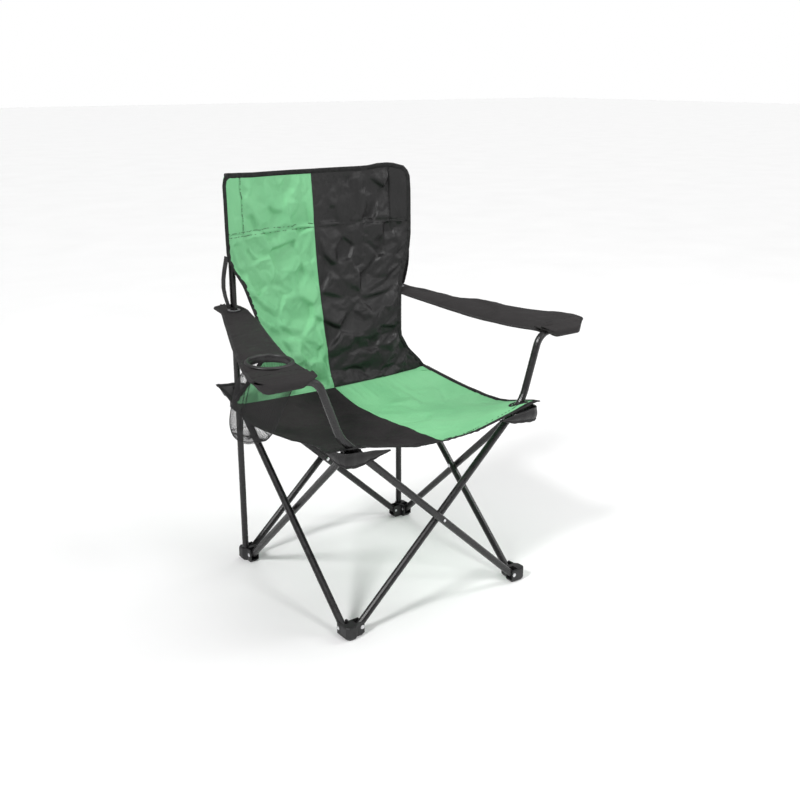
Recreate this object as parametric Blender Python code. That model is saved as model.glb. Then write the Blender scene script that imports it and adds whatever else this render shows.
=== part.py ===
"""Folding camp chair: four scissor pairs of steel tube, sliding rear collars, fabric seat and back.

Frame: metres, +Z up, +X is the sitter's left, -Y is the front of the chair. The origin is on the floor
under the middle of the chair's overall box. The dimensions below are measured from the middle of the
four feet, which is a little in front of it.
"""
import math

import bmesh
import bpy
from mathutils import Matrix, Vector

# ---------------------------------------------------------------- driving dimensions
FEET_FORWARD = 0.0154     # the middle of the feet lies this far in front of the origin
CORNER = 0.199            # half the distance between neighbouring corner axes
PIVOT_INSET = 0.020       # pivot to corner axis, along the side of the frame
PLANE_OFFSET = 0.0075     # tube axis to the plane through two corner axes
FOOT_PIVOT_Z = 0.017
TOP_PIVOT_Z = 0.348
TUBE_R = 0.0070
POST_R = 0.0065
WALL = 0.0010             # wall thickness of every tube
TUBE_END = 0.0080         # straight tube beyond its end pivots
GAP = 0.0003              # clearance between touching pieces
SIDES = 12                # facets round a tube

RIVET_R = 0.0020
RIVET_HOLE_R = 0.0024
RIVET_HEAD_R = 0.0042     # domed head, on the outside
RIVET_TAIL_R = 0.0029     # clinched tail, on the inside
RIVET_HEAD_H = 0.0016

POST_TOP_Z = {-1: 0.788, 1: 0.784}    # right and left post
POST_SEAT_Z = 0.004       # floor of the post's socket in a rear foot
SOCKET_GAP = 0.0004

# bends of the front tubes, by side: (x, z) of the first, which turns upwards, and x of the second
ARM_SLOPE = {-1: (0.2222, 0.3880), 1: (0.2070, 0.3739)}
ARM_TOP_X = {-1: 0.2650, 1: 0.2465}
ARM_TOP_Z = 0.500
ARM_END_X = {-1: 0.354, 1: 0.347}
ARM_BEND_R = (0.070, 0.034)

FABRIC = 0.0025           # thickness of the fabric solids
SEAT_CORNER_Z = 0.3680
SEAT_FRONT_Y = -0.2225
SEAT_REAR_Y = 0.1450
SEAT_SIDE_REAR_X = 0.2460
SEAT_SIDE_FRONT_X = 0.2270

BACK_TOP_Z = 0.7900
BACK_WAIST_Z = 0.468
BACK_BOTTOM_Z = 0.357
SLEEVE_BOTTOM_Z = 0.633
SLEEVE_TOP_Z = 0.7965

ARM_FRONT_Z = 0.5075      # underside of an armrest at its front
ARM_REAR_Z = 0.5280       # underside of an armrest at its post
ARM_FRONT_Y = -0.2175
ARM_SAG = 0.0046          # sag of an armrest halfway along
ARMREST_THICK = 0.0035
CUP_X, CUP_Y = -0.2975, -0.1145
CUP_R = 0.032
CUP_FLANGE_R = 0.0445

MM = 0.001
PIVOT = CORNER - PIVOT_INSET

# corner name: quarter turns that carry the front right corner onto it
CORNERS = {"front_right": 0, "front_left": 1, "rear_left": 2, "rear_right": 3}

# ---------------------------------------------------------------- scene helpers


def clear_scene():
    for obj in list(bpy.data.objects):
        bpy.data.objects.remove(obj, do_unlink=True)


def material(name, colour, roughness, metallic=0.0):
    mat = bpy.data.materials.new(name)
    mat.use_nodes = True
    shader = mat.node_tree.nodes["Principled BSDF"]
    shader.inputs["Base Color"].default_value = (*colour, 1.0)
    shader.inputs["Roughness"].default_value = roughness
    shader.inputs["Metallic"].default_value = metallic
    mat.diffuse_color = (*colour, 1.0)
    return mat


def mesh_object(name, verts, faces, mat=None):
    mesh = bpy.data.meshes.new(name)
    mesh.from_pydata([tuple(v) for v in verts], [], faces)
    bm = bmesh.new()
    bm.from_mesh(mesh)
    bmesh.ops.remove_doubles(bm, verts=bm.verts, dist=1e-6)
    bmesh.ops.recalc_face_normals(bm, faces=bm.faces)
    bm.to_mesh(mesh)
    bm.free()
    obj = bpy.data.objects.new(name, mesh)
    bpy.context.scene.collection.objects.link(obj)
    if mat:
        mesh.materials.append(mat)
    return obj


def combine(obj, tool, operation):
    """Apply a Boolean with the tool, which is then removed."""
    modifier = obj.modifiers.new("boolean", "BOOLEAN")
    modifier.operation = operation
    modifier.solver = "EXACT"
    modifier.object = tool
    bpy.context.view_layer.update()
    evaluated = obj.evaluated_get(bpy.context.evaluated_depsgraph_get())
    mesh = bpy.data.meshes.new_from_object(evaluated)
    obj.modifiers.remove(modifier)
    old = obj.data
    obj.data = mesh
    bpy.data.meshes.remove(old)
    bpy.data.objects.remove(tool, do_unlink=True)


def cut(obj, *tools):
    for tool in tools:
        combine(obj, tool, "DIFFERENCE")


def smooth(obj, degrees=40.0):
    obj.data.shade_smooth()
    obj.data.set_sharp_from_angle(angle=math.radians(degrees))


def add_body(name, joint_point):
    """An empty on a body's joint axis; the body's pieces hang from it."""
    empty = bpy.data.objects.new("body_" + name, None)
    empty.empty_display_size = 0.02
    empty.location = Vector(joint_point) - Vector((0.0, FEET_FORWARD, 0.0))
    bpy.context.scene.collection.objects.link(empty)
    return empty


def attach(empty, *pieces):
    shift = Matrix.Translation(Vector((0.0, -FEET_FORWARD, 0.0)) - empty.location)
    for piece in pieces:
        piece.data.transform(shift)
        piece.parent = empty


# ---------------------------------------------------------------- shapes


def ring(centre, normal, radius, sides, turn=0.0):
    """Points round a circle; turn is in facets."""
    normal = Vector(normal).normalized()
    side = normal.cross(Vector((0.0, 1.0, 0.0)))
    if side.length < 0.3:
        side = normal.cross(Vector((1.0, 0.0, 0.0)))
    side.normalize()
    other = normal.cross(side)
    step = 2.0 * math.pi / sides
    angles = [(i + turn) * step for i in range(sides)]
    return [Vector(centre) + radius * (math.cos(a) * side + math.sin(a) * other) for a in angles]


def loft(rings, closed=False):
    """Vertices and faces through rings of equal count, capped unless closed on themselves."""
    count = len(rings[0])
    verts = [point for loop in rings for point in loop]
    faces = []
    last = len(rings) if closed else len(rings) - 1
    for i in range(last):
        low = i * count
        high = ((i + 1) % len(rings)) * count
        for j in range(count):
            k = (j + 1) % count
            faces.append((low + j, low + k, high + k, high + j))
    if not closed:
        faces.append(tuple(reversed(range(count))))
        faces.append(tuple(range(len(verts) - count, len(verts))))
    return verts, faces


def turned(name, start, end, profile, mat, sides=10):
    """A solid of revolution; the profile holds (radius, distance from start) pairs on one closed loop.

    A profile that begins and ends on the axis is capped there.
    """
    start, end = Vector(start), Vector(end)
    axis = (end - start).normalized()
    rings = [ring(start + axis * along, axis, radius, sides) for radius, along in profile]
    if profile[0][0] < 1e-6:
        rings = rings[1:-1]
        return mesh_object(name, *loft(rings), mat)
    return mesh_object(name, *loft(rings, closed=True), mat)


def rod(start, end, radius, sides=10):
    """A plain cylinder, used as a cutting tool."""
    axis = Vector(end) - Vector(start)
    rings = [ring(start, axis, radius, sides), ring(end, axis, radius, sides)]
    return mesh_object("tool", *loft(rings))


def block(low, high, frame=None):
    """A box between two corners, optionally carried by a matrix."""
    x0, y0, z0 = low
    x1, y1, z1 = high
    plan = [(x0, y0), (x1, y0), (x1, y1), (x0, y1)]
    rings = [[Vector((x, y, z)) for x, y in plan] for z in (z0, z1)]
    if frame is not None:
        rings = [[frame @ point for point in loop] for loop in rings]
    return mesh_object("tool", *loft(rings))


def hollow_tube(name, path, radius, mat, sides=SIDES):
    """An open-ended tube along a path that lies in one plane."""
    path = [Vector(point) for point in path]
    outer, inner = [], []
    for i, point in enumerate(path):
        before = path[max(i - 1, 0)]
        after = path[min(i + 1, len(path) - 1)]
        direction = (after - before).normalized()
        stretch = 1.0
        if 0 < i < len(path) - 1:
            incoming = (point - before).normalized()
            stretch = 1.0 / max(incoming.dot(direction), 0.5)
        out_ring = ring(point, direction, radius, sides, 0.5)
        in_ring = ring(point, direction, radius - WALL, sides, 0.5)
        if stretch > 1.0001:
            lean = (after - before).cross(point - before).normalized().cross(direction)
            for loop in (out_ring, in_ring):
                for j, vert in enumerate(loop):
                    offset = vert - point
                    loop[j] = vert + lean * offset.dot(lean) * (stretch - 1.0)
        outer.append(out_ring)
        inner.append(in_ring)
    return mesh_object(name, *loft(outer + inner[::-1], closed=True), mat)


def bent_path(corners, radii, step=math.radians(9.0)):
    """A path through corner points with a round bend at each inner corner."""
    corners = [Vector(point) for point in corners]
    path = [corners[0]]
    for before, corner, after, radius in zip(corners, corners[1:], corners[2:], radii):
        into = (corner - before).normalized()
        out = (after - corner).normalized()
        turn = into.angle(out)
        reach = radius * math.tan(turn / 2.0)
        centre_way = (out - into).normalized()
        centre = corner + centre_way * (radius / math.cos(turn / 2.0))
        start = corner - into * reach
        count = max(2, math.ceil(turn / step))
        for i in range(count + 1):
            arm = Matrix.Rotation(turn * i / count, 3, into.cross(out)) @ (start - centre)
            path.append(centre + arm)
    path.append(corners[-1])
    return path


def rivet(name, start, end, mat):
    """A rivet with its domed head just outside start and its clinched tail just outside end."""
    start, end = Vector(start), Vector(end)
    axis = (end - start).normalized()
    start = start - axis * GAP
    length = (end - start).length + GAP
    head, tail, height = RIVET_HEAD_R, RIVET_TAIL_R, RIVET_HEAD_H
    profile = [(0.0, -height), (0.6 * head, -height), (head, -0.35 * height), (head, 0.0),
               (RIVET_R, 0.0), (RIVET_R, length),
               (tail, length), (tail, length + 0.35 * height), (0.6 * tail, length + height),
               (0.0, length + height)]
    piece = turned(name, start, start + axis * length, profile, mat, sides=8)
    smooth(piece, 50.0)
    return piece


def sheet(name, mat, columns, rows, point, thickness_way):
    """A closed thin solid over a grid; point(u, v) is its front, u and v run from 0 to 1."""
    front = [[Vector(point(i / columns, j / rows)) for j in range(rows + 1)] for i in range(columns + 1)]
    way = Vector(thickness_way)
    verts = [p for line in front for p in line] + [p + way for line in front for p in line]
    width = rows + 1
    layer = (columns + 1) * width

    def index(i, j):
        return i * width + j

    faces = []
    for i in range(columns):
        for j in range(rows):
            quad = (index(i, j), index(i + 1, j), index(i + 1, j + 1), index(i, j + 1))
            faces.append(quad)
            faces.append(tuple(k + layer for k in reversed(quad)))
    rim = [index(i, 0) for i in range(columns)] + [index(columns, j) for j in range(rows)]
    rim += [index(i, rows) for i in range(columns, 0, -1)] + [index(0, j) for j in range(rows, 0, -1)]
    for a, b in zip(rim, rim[1:] + rim[:1]):
        faces.append((a, a + layer, b + layer, b))
    return mesh_object(name, verts, faces, mat)


def plate(name, outline, low, high, mat=None):
    """An extruded outline; low and high give a height at each plan point."""
    rings = [[Vector((x, y, level(x, y))) for x, y in outline] for level in (low, high)]
    return mesh_object(name, *loft(rings), mat)


# ---------------------------------------------------------------- corner pieces


def corner_frame(corner, z=0.0):
    """Carries corner coordinates into the chair: +x and +y run along the two sides that meet there."""
    turn = Matrix.Rotation(math.radians(90.0 * CORNERS[corner]), 4, "Z")
    return turn @ Matrix.Translation((-CORNER, -CORNER, z))


# plan of a moulded foot; a top bracket has the same plan with x and y exchanged
REACH = 0.0245            # end of the clevis walls
WALL_OUT = 0.0170         # outer face of the outer clevis wall
WALL_IN = 0.0031          # face of the walls next to the corner planes
WALL_BACK = 0.0168        # inner face of the inner clevis wall
SLOT = (0.0001, 0.0149)
SLOT_START = 0.0083
FOOT_PLAN = [(-WALL_OUT, -0.004), (-0.012, -0.0095), (0.003, -0.0095), (0.0095, -WALL_IN), (REACH, -WALL_IN),
             (REACH, WALL_BACK), (WALL_IN, WALL_BACK), (WALL_IN, REACH), (-WALL_OUT, REACH)]
FOOT_LEVELS = [(0.0, 0.80), (0.005, 1.0), (0.0245, 1.0), (0.027, 0.94)]
BRACKET_HALF_H = 0.0095


def moulded(name, plan, levels, frame, mat):
    """A block with one plan at several heights, each scaled about the plan's middle."""
    middle = Vector((0.003, 0.007))
    rings = []
    for z, scale in levels:
        points = [middle + (Vector(p) - middle) * scale for p in plan]
        rings.append([frame @ Vector((p.x, p.y, z)) for p in points])
    return mesh_object(name, *loft(rings), mat)


def slot_tool(frame, along_x, side, low, high):
    """A cutting box for the tube that leaves a corner along x or along y."""
    near, far = (SLOT[0], SLOT[1]) if side > 0 else (-SLOT[1], -SLOT[0])
    if along_x:
        return block((SLOT_START, near, low), (0.06, far, high), frame)
    return block((near, SLOT_START, low), (far, 0.06, high), frame)


def rivet_tool(frame, along_x, side, z):
    """A cutting rod for the rivet of the tube that leaves a corner along x or along y."""
    centre = side * PLANE_OFFSET
    low, high = centre - 0.03, centre + 0.03
    if along_x:
        return rod(frame @ Vector((PIVOT_INSET, low, z)), frame @ Vector((PIVOT_INSET, high, z)), RIVET_HOLE_R)
    return rod(frame @ Vector((low, PIVOT_INSET, z)), frame @ Vector((high, PIVOT_INSET, z)), RIVET_HOLE_R)


def corner_rivets(label, frame, x_side, z, mat):
    """The two rivets of a corner piece; the tube along x lies on x_side of its plane."""
    outer_lane = (-WALL_OUT, WALL_IN)
    inner_lane = (-WALL_IN, WALL_BACK)
    along_x, along_y = (inner_lane, outer_lane) if x_side > 0 else (outer_lane, inner_lane)
    first = rivet(f"rivet_{label}_a", frame @ Vector((PIVOT_INSET, along_x[0], z)),
                  frame @ Vector((PIVOT_INSET, along_x[1], z)), mat)
    second = rivet(f"rivet_{label}_b", frame @ Vector((along_y[0], PIVOT_INSET, z)),
                   frame @ Vector((along_y[1], PIVOT_INSET, z)), mat)
    return [first, second]


def foot(corner, mats):
    frame = corner_frame(corner)
    piece = moulded(f"foot_{corner}", FOOT_PLAN, FOOT_LEVELS, frame, mats["plastic"])
    cut(piece,
        slot_tool(frame, True, 1, 0.005, 0.05), slot_tool(frame, False, -1, 0.005, 0.05),
        rivet_tool(frame, True, 1, FOOT_PIVOT_Z), rivet_tool(frame, False, -1, FOOT_PIVOT_Z))
    if corner.startswith("rear"):
        socket = rod(frame @ Vector((0, 0, POST_SEAT_Z)), frame @ Vector((0, 0, 0.05)),
                     POST_R + SOCKET_GAP, SIDES + 4)
        cut(piece, socket)
    smooth(piece, 30.0)
    return [piece] + corner_rivets(f"foot_{corner}", frame, 1, FOOT_PIVOT_Z, mats["rivet"])


def bracket(name, corner, mats):
    """A front corner bracket, or a rear collar that slides on the post."""
    frame = corner_frame(corner)
    plan = [(y, x) for x, y in FOOT_PLAN]
    low, high = TOP_PIVOT_Z - BRACKET_HALF_H, TOP_PIVOT_Z + BRACKET_HALF_H
    levels = [(low, 0.96), (low + 0.002, 1.0), (high - 0.002, 1.0), (high, 0.96)]
    piece = moulded(name, plan, levels, frame, mats["plastic"])
    cut(piece,
        slot_tool(frame, True, -1, low - 0.01, high + 0.01),
        slot_tool(frame, False, 1, low - 0.01, high + 0.01),
        rivet_tool(frame, True, -1, TOP_PIVOT_Z), rivet_tool(frame, False, 1, TOP_PIVOT_Z))
    if corner.startswith("rear"):
        cut(piece, rod(frame @ Vector((0, 0, low - 0.01)), frame @ Vector((0, 0, high + 0.01)),
                       POST_R + SOCKET_GAP, SIDES + 4))
    else:
        cut(piece, arm_slot_tool(corner))
    smooth(piece, 30.0)
    return [piece] + corner_rivets(name, frame, -1, TOP_PIVOT_Z, mats["rivet"])


def arm_slot_tool(corner):
    """Clears a front bracket for the tube that carries on past its pivot to the armrest."""
    side = 1.0 if corner == "front_left" else -1.0
    plane = -CORNER + PLANE_OFFSET if side > 0 else -CORNER - PLANE_OFFSET
    slope = math.atan2(TOP_PIVOT_Z - FOOT_PIVOT_Z, 2.0 * PIVOT)
    turn = Matrix.Rotation(-side * slope, 4, "Y")
    frame = Matrix.Translation((side * PIVOT, plane, TOP_PIVOT_Z)) @ turn
    half = TUBE_R + 0.0004
    x0, x1 = (0.0, 0.06) if side > 0 else (-0.06, 0.0)
    return block((x0, -half, -half), (x1, half, 0.06), frame)


# ---------------------------------------------------------------- tubes

# tube name: (corner its foot is at, quarter turn of its plane, True for the outer plane)
X_TUBES = {
    "front_tube_inner": (0, False), "front_tube_outer": (0, True),
    "left_tube_inner": (1, False), "left_tube_outer": (1, True),
    "rear_tube_inner": (2, False), "rear_tube_outer": (2, True),
    "right_tube_inner": (3, False), "right_tube_outer": (3, True),
}


def tube_ends(turns, outer):
    """Foot pivot and top pivot of an X tube; turns carries the front side onto its side."""
    plane = -CORNER - PLANE_OFFSET if outer else -CORNER + PLANE_OFFSET
    run = -1.0 if outer else 1.0
    frame = Matrix.Rotation(math.radians(90.0 * turns), 4, "Z")
    low = frame @ Vector((-run * PIVOT, plane, FOOT_PIVOT_Z))
    high = frame @ Vector((run * PIVOT, plane, TOP_PIVOT_Z))
    return low, high


def side_axis(turns):
    """The direction across an X plane, pointing out of the chair."""
    return Matrix.Rotation(math.radians(90.0 * turns), 3, "Z") @ Vector((0.0, -1.0, 0.0))


def x_tube(name, mats):
    turns, outer = X_TUBES[name]
    low, high = tube_ends(turns, outer)
    along = (high - low).normalized()
    start = low - along * TUBE_END
    if name.startswith("front"):
        side = 1 if high.x > 0 else -1
        slope_x, slope_z = ARM_SLOPE[side]
        corners = [start, Vector((side * slope_x, high.y, slope_z)),
                   Vector((side * ARM_TOP_X[side], high.y, ARM_TOP_Z)),
                   Vector((side * ARM_END_X[side], high.y, ARM_TOP_Z))]
        path = bent_path(corners, ARM_BEND_R)
    else:
        path = [start, high + along * TUBE_END]
    piece = hollow_tube(name, path, TUBE_R, mats["tube"])
    across = side_axis(turns) * 0.02
    middle = (low + high) / 2.0
    cut(piece, *[rod(point - across, point + across, RIVET_HOLE_R, 8) for point in (low, middle, high)])
    smooth(piece, 50.0)
    return piece


def cross_rivet(name, turns, mats):
    out = side_axis(turns)
    middle = Vector((0.0, 0.0, (FOOT_PIVOT_Z + TOP_PIVOT_Z) / 2.0)) + out * CORNER
    reach = PLANE_OFFSET + TUBE_R
    return rivet(name, middle - out * reach, middle + out * reach, mats["rivet"])


def post(side, mats):
    x = side * CORNER
    path = [(x, CORNER, POST_SEAT_Z + GAP), (x, CORNER, POST_TOP_Z[side])]
    piece = hollow_tube(f"back_post_{side_name(side)}", path, POST_R, mats["tube"])
    smooth(piece, 50.0)
    return piece


def end_cap(name, end, way, radius, mats):
    """A plug that closes a tube end: a spigot inside and a flange outside."""
    end, way = Vector(end), Vector(way)
    spigot = radius - WALL - GAP
    profile = [(0.0, -0.008), (spigot, -0.008), (spigot, GAP), (radius, GAP),
               (radius, 0.0018), (0.8 * radius, 0.0030), (0.0, 0.0030)]
    piece = turned(name, end, end + way, profile, mats["plastic"], SIDES)
    smooth(piece, 40.0)
    return piece


def side_name(side):
    return "left" if side > 0 else "right"


# ---------------------------------------------------------------- fabric solids


def seat_point(side, u, v):
    """Top surface of half the seat; u runs from the middle to the side, v from front to rear."""
    side_x = SEAT_SIDE_FRONT_X + (SEAT_SIDE_REAR_X - SEAT_SIDE_FRONT_X) * v
    middle_gap = GAP
    x = middle_gap + (side_x - middle_gap) * u
    y = SEAT_FRONT_Y + (SEAT_REAR_Y - SEAT_FRONT_Y) * v
    across = (1.0 - u * u) ** 3
    along = (1.0 - (2.0 * v - 1.0) ** 2) ** 3
    sag = 0.020 * along + 0.021 * across - 0.009 * across * along
    return side * x, y, SEAT_CORNER_Z - sag


def grommet_place(side):
    """Where a front tube comes up through the seat: its axis at the height of the seat's corner."""
    low, high = tube_ends(0, side < 0)
    along = (high - low).normalized()
    return low + along * ((SEAT_CORNER_Z - low.z) / along.z), along


def oval_ring(centre, radii, sides):
    step = 2.0 * math.pi / sides
    return [Vector(centre) + Vector((radii[0] * math.cos(i * step), radii[1] * math.sin(i * step), 0.0))
            for i in range(sides)]


GROMMET_HOLE = (0.0150, 0.0092)   # half length and half width of the opening round an arm tube
GROMMET_RIM = 0.0035


def seat_panel(side, mats):
    piece = sheet(f"seat_panel_{side_name(side)}", mats["green" if side > 0 else "black"], 8, 10,
                  lambda u, v: seat_point(side, u, v), (0.0, 0.0, -FABRIC))
    centre, _ = grommet_place(side)
    radii = [r + GAP for r in GROMMET_HOLE]
    low, high = centre - Vector((0, 0, 0.01)), centre + Vector((0, 0, 0.01))
    tool = mesh_object("tool", *loft([oval_ring(low, radii, 12), oval_ring(high, radii, 12)]))
    cut(piece, tool)
    smooth(piece, 40.0)
    return piece


def seat_grommet(side, mats):
    """The oval eyelet round a front tube where it comes up through the seat."""
    centre, _ = grommet_place(side)
    rim_radii = [r + GAP + GROMMET_RIM for r in GROMMET_HOLE]
    hole = list(GROMMET_HOLE)
    lift = Vector((0, 0, GAP + 0.0004))
    height = Vector((0, 0, 0.0012))
    rings = [oval_ring(centre + lift, rim_radii, 16), oval_ring(centre + lift + height, rim_radii, 16),
             oval_ring(centre + lift + height, hole, 16), oval_ring(centre + lift, hole, 16)]
    return mesh_object(f"seat_grommet_{side_name(side)}", *loft(rings, closed=True), mats["plastic"])


def back_edge(z):
    """Half width of the back and how far forward its side lies, at a height."""
    if z >= SLEEVE_BOTTOM_Z:
        return 0.2165, 0.1840
    if z >= BACK_WAIST_Z:
        t = (z - BACK_WAIST_Z) / (SLEEVE_BOTTOM_Z - BACK_WAIST_Z)
        return 0.167 + 0.0495 * t ** 1.4, 0.1500 + 0.034 * t
    t = (BACK_WAIST_Z - z) / (BACK_WAIST_Z - BACK_BOTTOM_Z - 0.015)
    return 0.167 + 0.066 * t ** 1.8, 0.1500 + 0.001 * t


def back_point(side, u, v):
    """Rear surface of half the back; u runs from the middle to the side, v from bottom to top."""
    bottom = BACK_BOTTOM_Z + 0.015 * min(1.0, 1.6 * u) ** 2
    z = bottom + (BACK_TOP_Z - bottom) * v
    half, side_y = back_edge(z)
    middle_y = 0.150 + 0.078 * v ** 0.8
    x = GAP + (half - GAP) * u
    y = middle_y + (side_y - middle_y) * u * u
    return side * x, y, z


SLEEVE_OUT_X = 0.2170
SLEEVE_IN_X = 0.1790
SLEEVE_REAR_Y = 0.2105


def back_panel(side, mats):
    piece = sheet(f"back_panel_{side_name(side)}", mats["black" if side > 0 else "green"], 8, 14,
                  lambda u, v: back_point(side, u, v), (0.0, -FABRIC, 0.0))
    xs = sorted((side * SLEEVE_IN_X, side * SLEEVE_OUT_X))
    sleeve = block((xs[0], 0.1835, SLEEVE_BOTTOM_Z), (xs[1], SLEEVE_REAR_Y, SLEEVE_TOP_Z))
    combine(piece, sleeve, "UNION")
    hollow_y = (0.1875, SLEEVE_REAR_Y - FABRIC)
    hollow = block((xs[0] + FABRIC, hollow_y[0], SLEEVE_BOTTOM_Z - 0.03),
                   (xs[1] - FABRIC, hollow_y[1], SLEEVE_TOP_Z - FABRIC))
    cut(piece, hollow)
    smooth(piece, 40.0)
    return piece


def armrest_middle(t):
    """Middle line of an armrest in plan; t runs from the rear end to the front."""
    return 0.190 + 0.1335 * t, 0.2380 - 0.4555 * t


def armrest_half(t):
    return 0.0270 + 0.0345 * t ** 1.15


def armrest_stations():
    """Inner and outer edge points of an armrest, rear to front: round behind, cut corners in front."""
    x, y = armrest_middle(0.0)
    pairs = []
    for inner, outer in ((105, 75), (135, 45), (165, 15)):
        pairs.append([(x + 0.024 * math.cos(a), y + 0.020 * math.sin(a) - 0.004)
                      for a in (math.radians(inner), math.radians(outer))])
    steps = 10
    for i in range(1, steps + 1):
        t = i / steps
        x, y = armrest_middle(t)
        half = armrest_half(t)
        if i == steps:
            pairs.append([(x - half, y + 0.010), (x + half, y + 0.042)])
            pairs.append([(x - half + 0.008, y), (x + half - 0.030, y)])
        else:
            pairs.append([(x - half, y), (x + half, y)])
    return pairs


def armrest_underside(y):
    """Height of an armrest's underside: hung between its tube and its post."""
    t = min(1.0, (y - ARM_FRONT_Y) / (CORNER - ARM_FRONT_Y))
    straight = ARM_FRONT_Z + (ARM_REAR_Z - ARM_FRONT_Z) * (y - ARM_FRONT_Y) / (CORNER - ARM_FRONT_Y)
    return straight - 4.0 * ARM_SAG * t * (1.0 - t)


def armrest(side, mats):
    name = side_name(side)
    stations = armrest_stations()

    def point(u, v):
        inner, outer = stations[round(v * (len(stations) - 1))]
        x = inner[0] + (outer[0] - inner[0]) * u
        y = inner[1] + (outer[1] - inner[1]) * u
        return side * x, y, armrest_underside(y)

    piece = sheet(f"armrest_{name}", mats["arm"], 2, len(stations) - 1, point, (0.0, 0.0, ARMREST_THICK))
    xs = sorted((side * 0.285, side * 0.345))
    front = ARM_FRONT_Y
    lip = block((xs[0], front + 0.0002, ARM_FRONT_Z - 0.012), (xs[1], front + 0.0026, ARM_FRONT_Z + 0.001))
    combine(piece, lip, "UNION")
    centre = Vector((side * CORNER, CORNER, 0.5))
    cut(piece, rod(centre, centre + Vector((0, 0, 0.08)), 0.0095, 16))
    return piece


def arm_eyelet(side, mats):
    """The washer round a post, on the rear end of an armrest."""
    centre = Vector((side * CORNER, CORNER, 0.0))
    base = armrest_underside(CORNER) + ARMREST_THICK + 0.0012
    rings = []
    for radius, z in ((0.0125, 0.0), (0.0125, 0.0012), (0.0080, 0.0012), (0.0080, 0.0)):
        rings.append(oval_ring((centre.x, centre.y, base + z), (radius, radius), 16))
    return mesh_object(f"arm_eyelet_{side_name(side)}", *loft(rings, closed=True), mats["ring"])


def cup_holder(arm_piece, mats):
    """The moulded ring in the right armrest and the net bag that hangs under it."""
    hole = rod((CUP_X, CUP_Y, 0.48), (CUP_X, CUP_Y, 0.55), CUP_R + 0.0030, 24)
    cut(arm_piece, hole)
    seat_z = armrest_underside(CUP_Y) + ARMREST_THICK
    flange = CUP_FLANGE_R
    lift = 0.0026
    skirt = CUP_R + 0.0020
    profile = [(flange, lift), (flange - 0.002, lift + 0.0030), (CUP_R + 0.001, lift + 0.0030),
               (CUP_R, lift + 0.0010), (CUP_R, -0.0100), (skirt, -0.0100), (skirt, lift)]
    ring_piece = turned("cup_ring", (CUP_X, CUP_Y, seat_z), (CUP_X, CUP_Y, seat_z + 1.0), profile,
                        mats["plastic"], 24)
    smooth(ring_piece, 40.0)
    levels = 8
    outer, inner = [], []
    wall = 0.0020
    for i in range(levels + 1):
        t = i / levels
        centre = (CUP_X, CUP_Y + 0.085 * t, 0.5015 - 0.1520 * t)
        half_w = 0.0420 - 0.008 * t
        half_l = 0.0720 - 0.012 * t
        if i == levels:
            half_w -= 0.010
            half_l -= 0.015
        outer.append(oval_ring(centre, (half_w, half_l), 20))
        inner_centre = (centre[0], centre[1], centre[2] + (wall if i == levels else 0.0))
        inner.append(oval_ring(inner_centre, (half_w - wall, half_l - wall), 20))
    count = 20
    verts = [p for loop in outer + inner[::-1] for p in loop]
    faces = []
    rows = len(outer) + len(inner)
    for i in range(rows - 1):
        if i == len(outer) - 1:
            continue
        for j in range(count):
            k = (j + 1) % count
            faces.append((i * count + j, i * count + k, (i + 1) * count + k, (i + 1) * count + j))
    for j in range(count):
        k = (j + 1) % count
        last = (rows - 1) * count
        faces.append((last + j, last + k, k, j))
    faces.append(tuple(range((len(outer) - 1) * count, len(outer) * count)))
    faces.append(tuple(reversed(range(len(outer) * count, (len(outer) + 1) * count))))
    net = mesh_object("cup_net", verts, faces, mats["net"])
    smooth(net, 50.0)
    return [ring_piece, net]


def strap(side, mats):
    """A webbing strap from the foot of the sleeve, bulging outwards, down to the armrest's eyelet."""
    def point(u, v):
        bow = 0.0085 * math.sin(math.pi * v) + 0.004 * v
        return side * (0.2120 + bow), CORNER - 0.0075 + 0.015 * u, 0.5365 + 0.0940 * v
    piece = sheet(f"arm_strap_{side_name(side)}", mats["strap"], 1, 8, point, (side * 0.0016, 0.0, 0.0))
    smooth(piece, 50.0)
    return piece


def rear_pocket(side, mats):
    """The ear of the seat's rear corner, with the post through it."""
    plan = [(0.246, 0.1560), (0.237, 0.2280), (0.192, 0.2250), (0.168, 0.2070), (0.168, 0.1560)]
    outline = [(side * x, y) for x, y in plan]
    low = TOP_PIVOT_Z + BRACKET_HALF_H + 0.0080
    piece = plate(f"corner_pocket_rear_{side_name(side)}", outline,
                  lambda x, y: low, lambda x, y: low + 0.0020, mats["black"])
    cut(piece, rod((side * CORNER, CORNER, low - 0.01), (side * CORNER, CORNER, low + 0.01), 0.0085, 16))
    return piece


def front_pocket(side, mats):
    """The turned-down corner of the seat that hides a front bracket."""
    inner, outer = 0.2198, 0.2216
    reach = 0.1620
    plan = [(outer, -outer), (outer, -reach), (inner, -reach), (inner, -inner),
            (reach, -inner), (reach, -outer)]
    outline = [(side * x, y) for x, y in plan]
    return plate(f"corner_pocket_front_{side_name(side)}", outline,
                 lambda x, y: 0.3380, lambda x, y: 0.3590, mats["black"])


# ---------------------------------------------------------------- the chair


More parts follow.
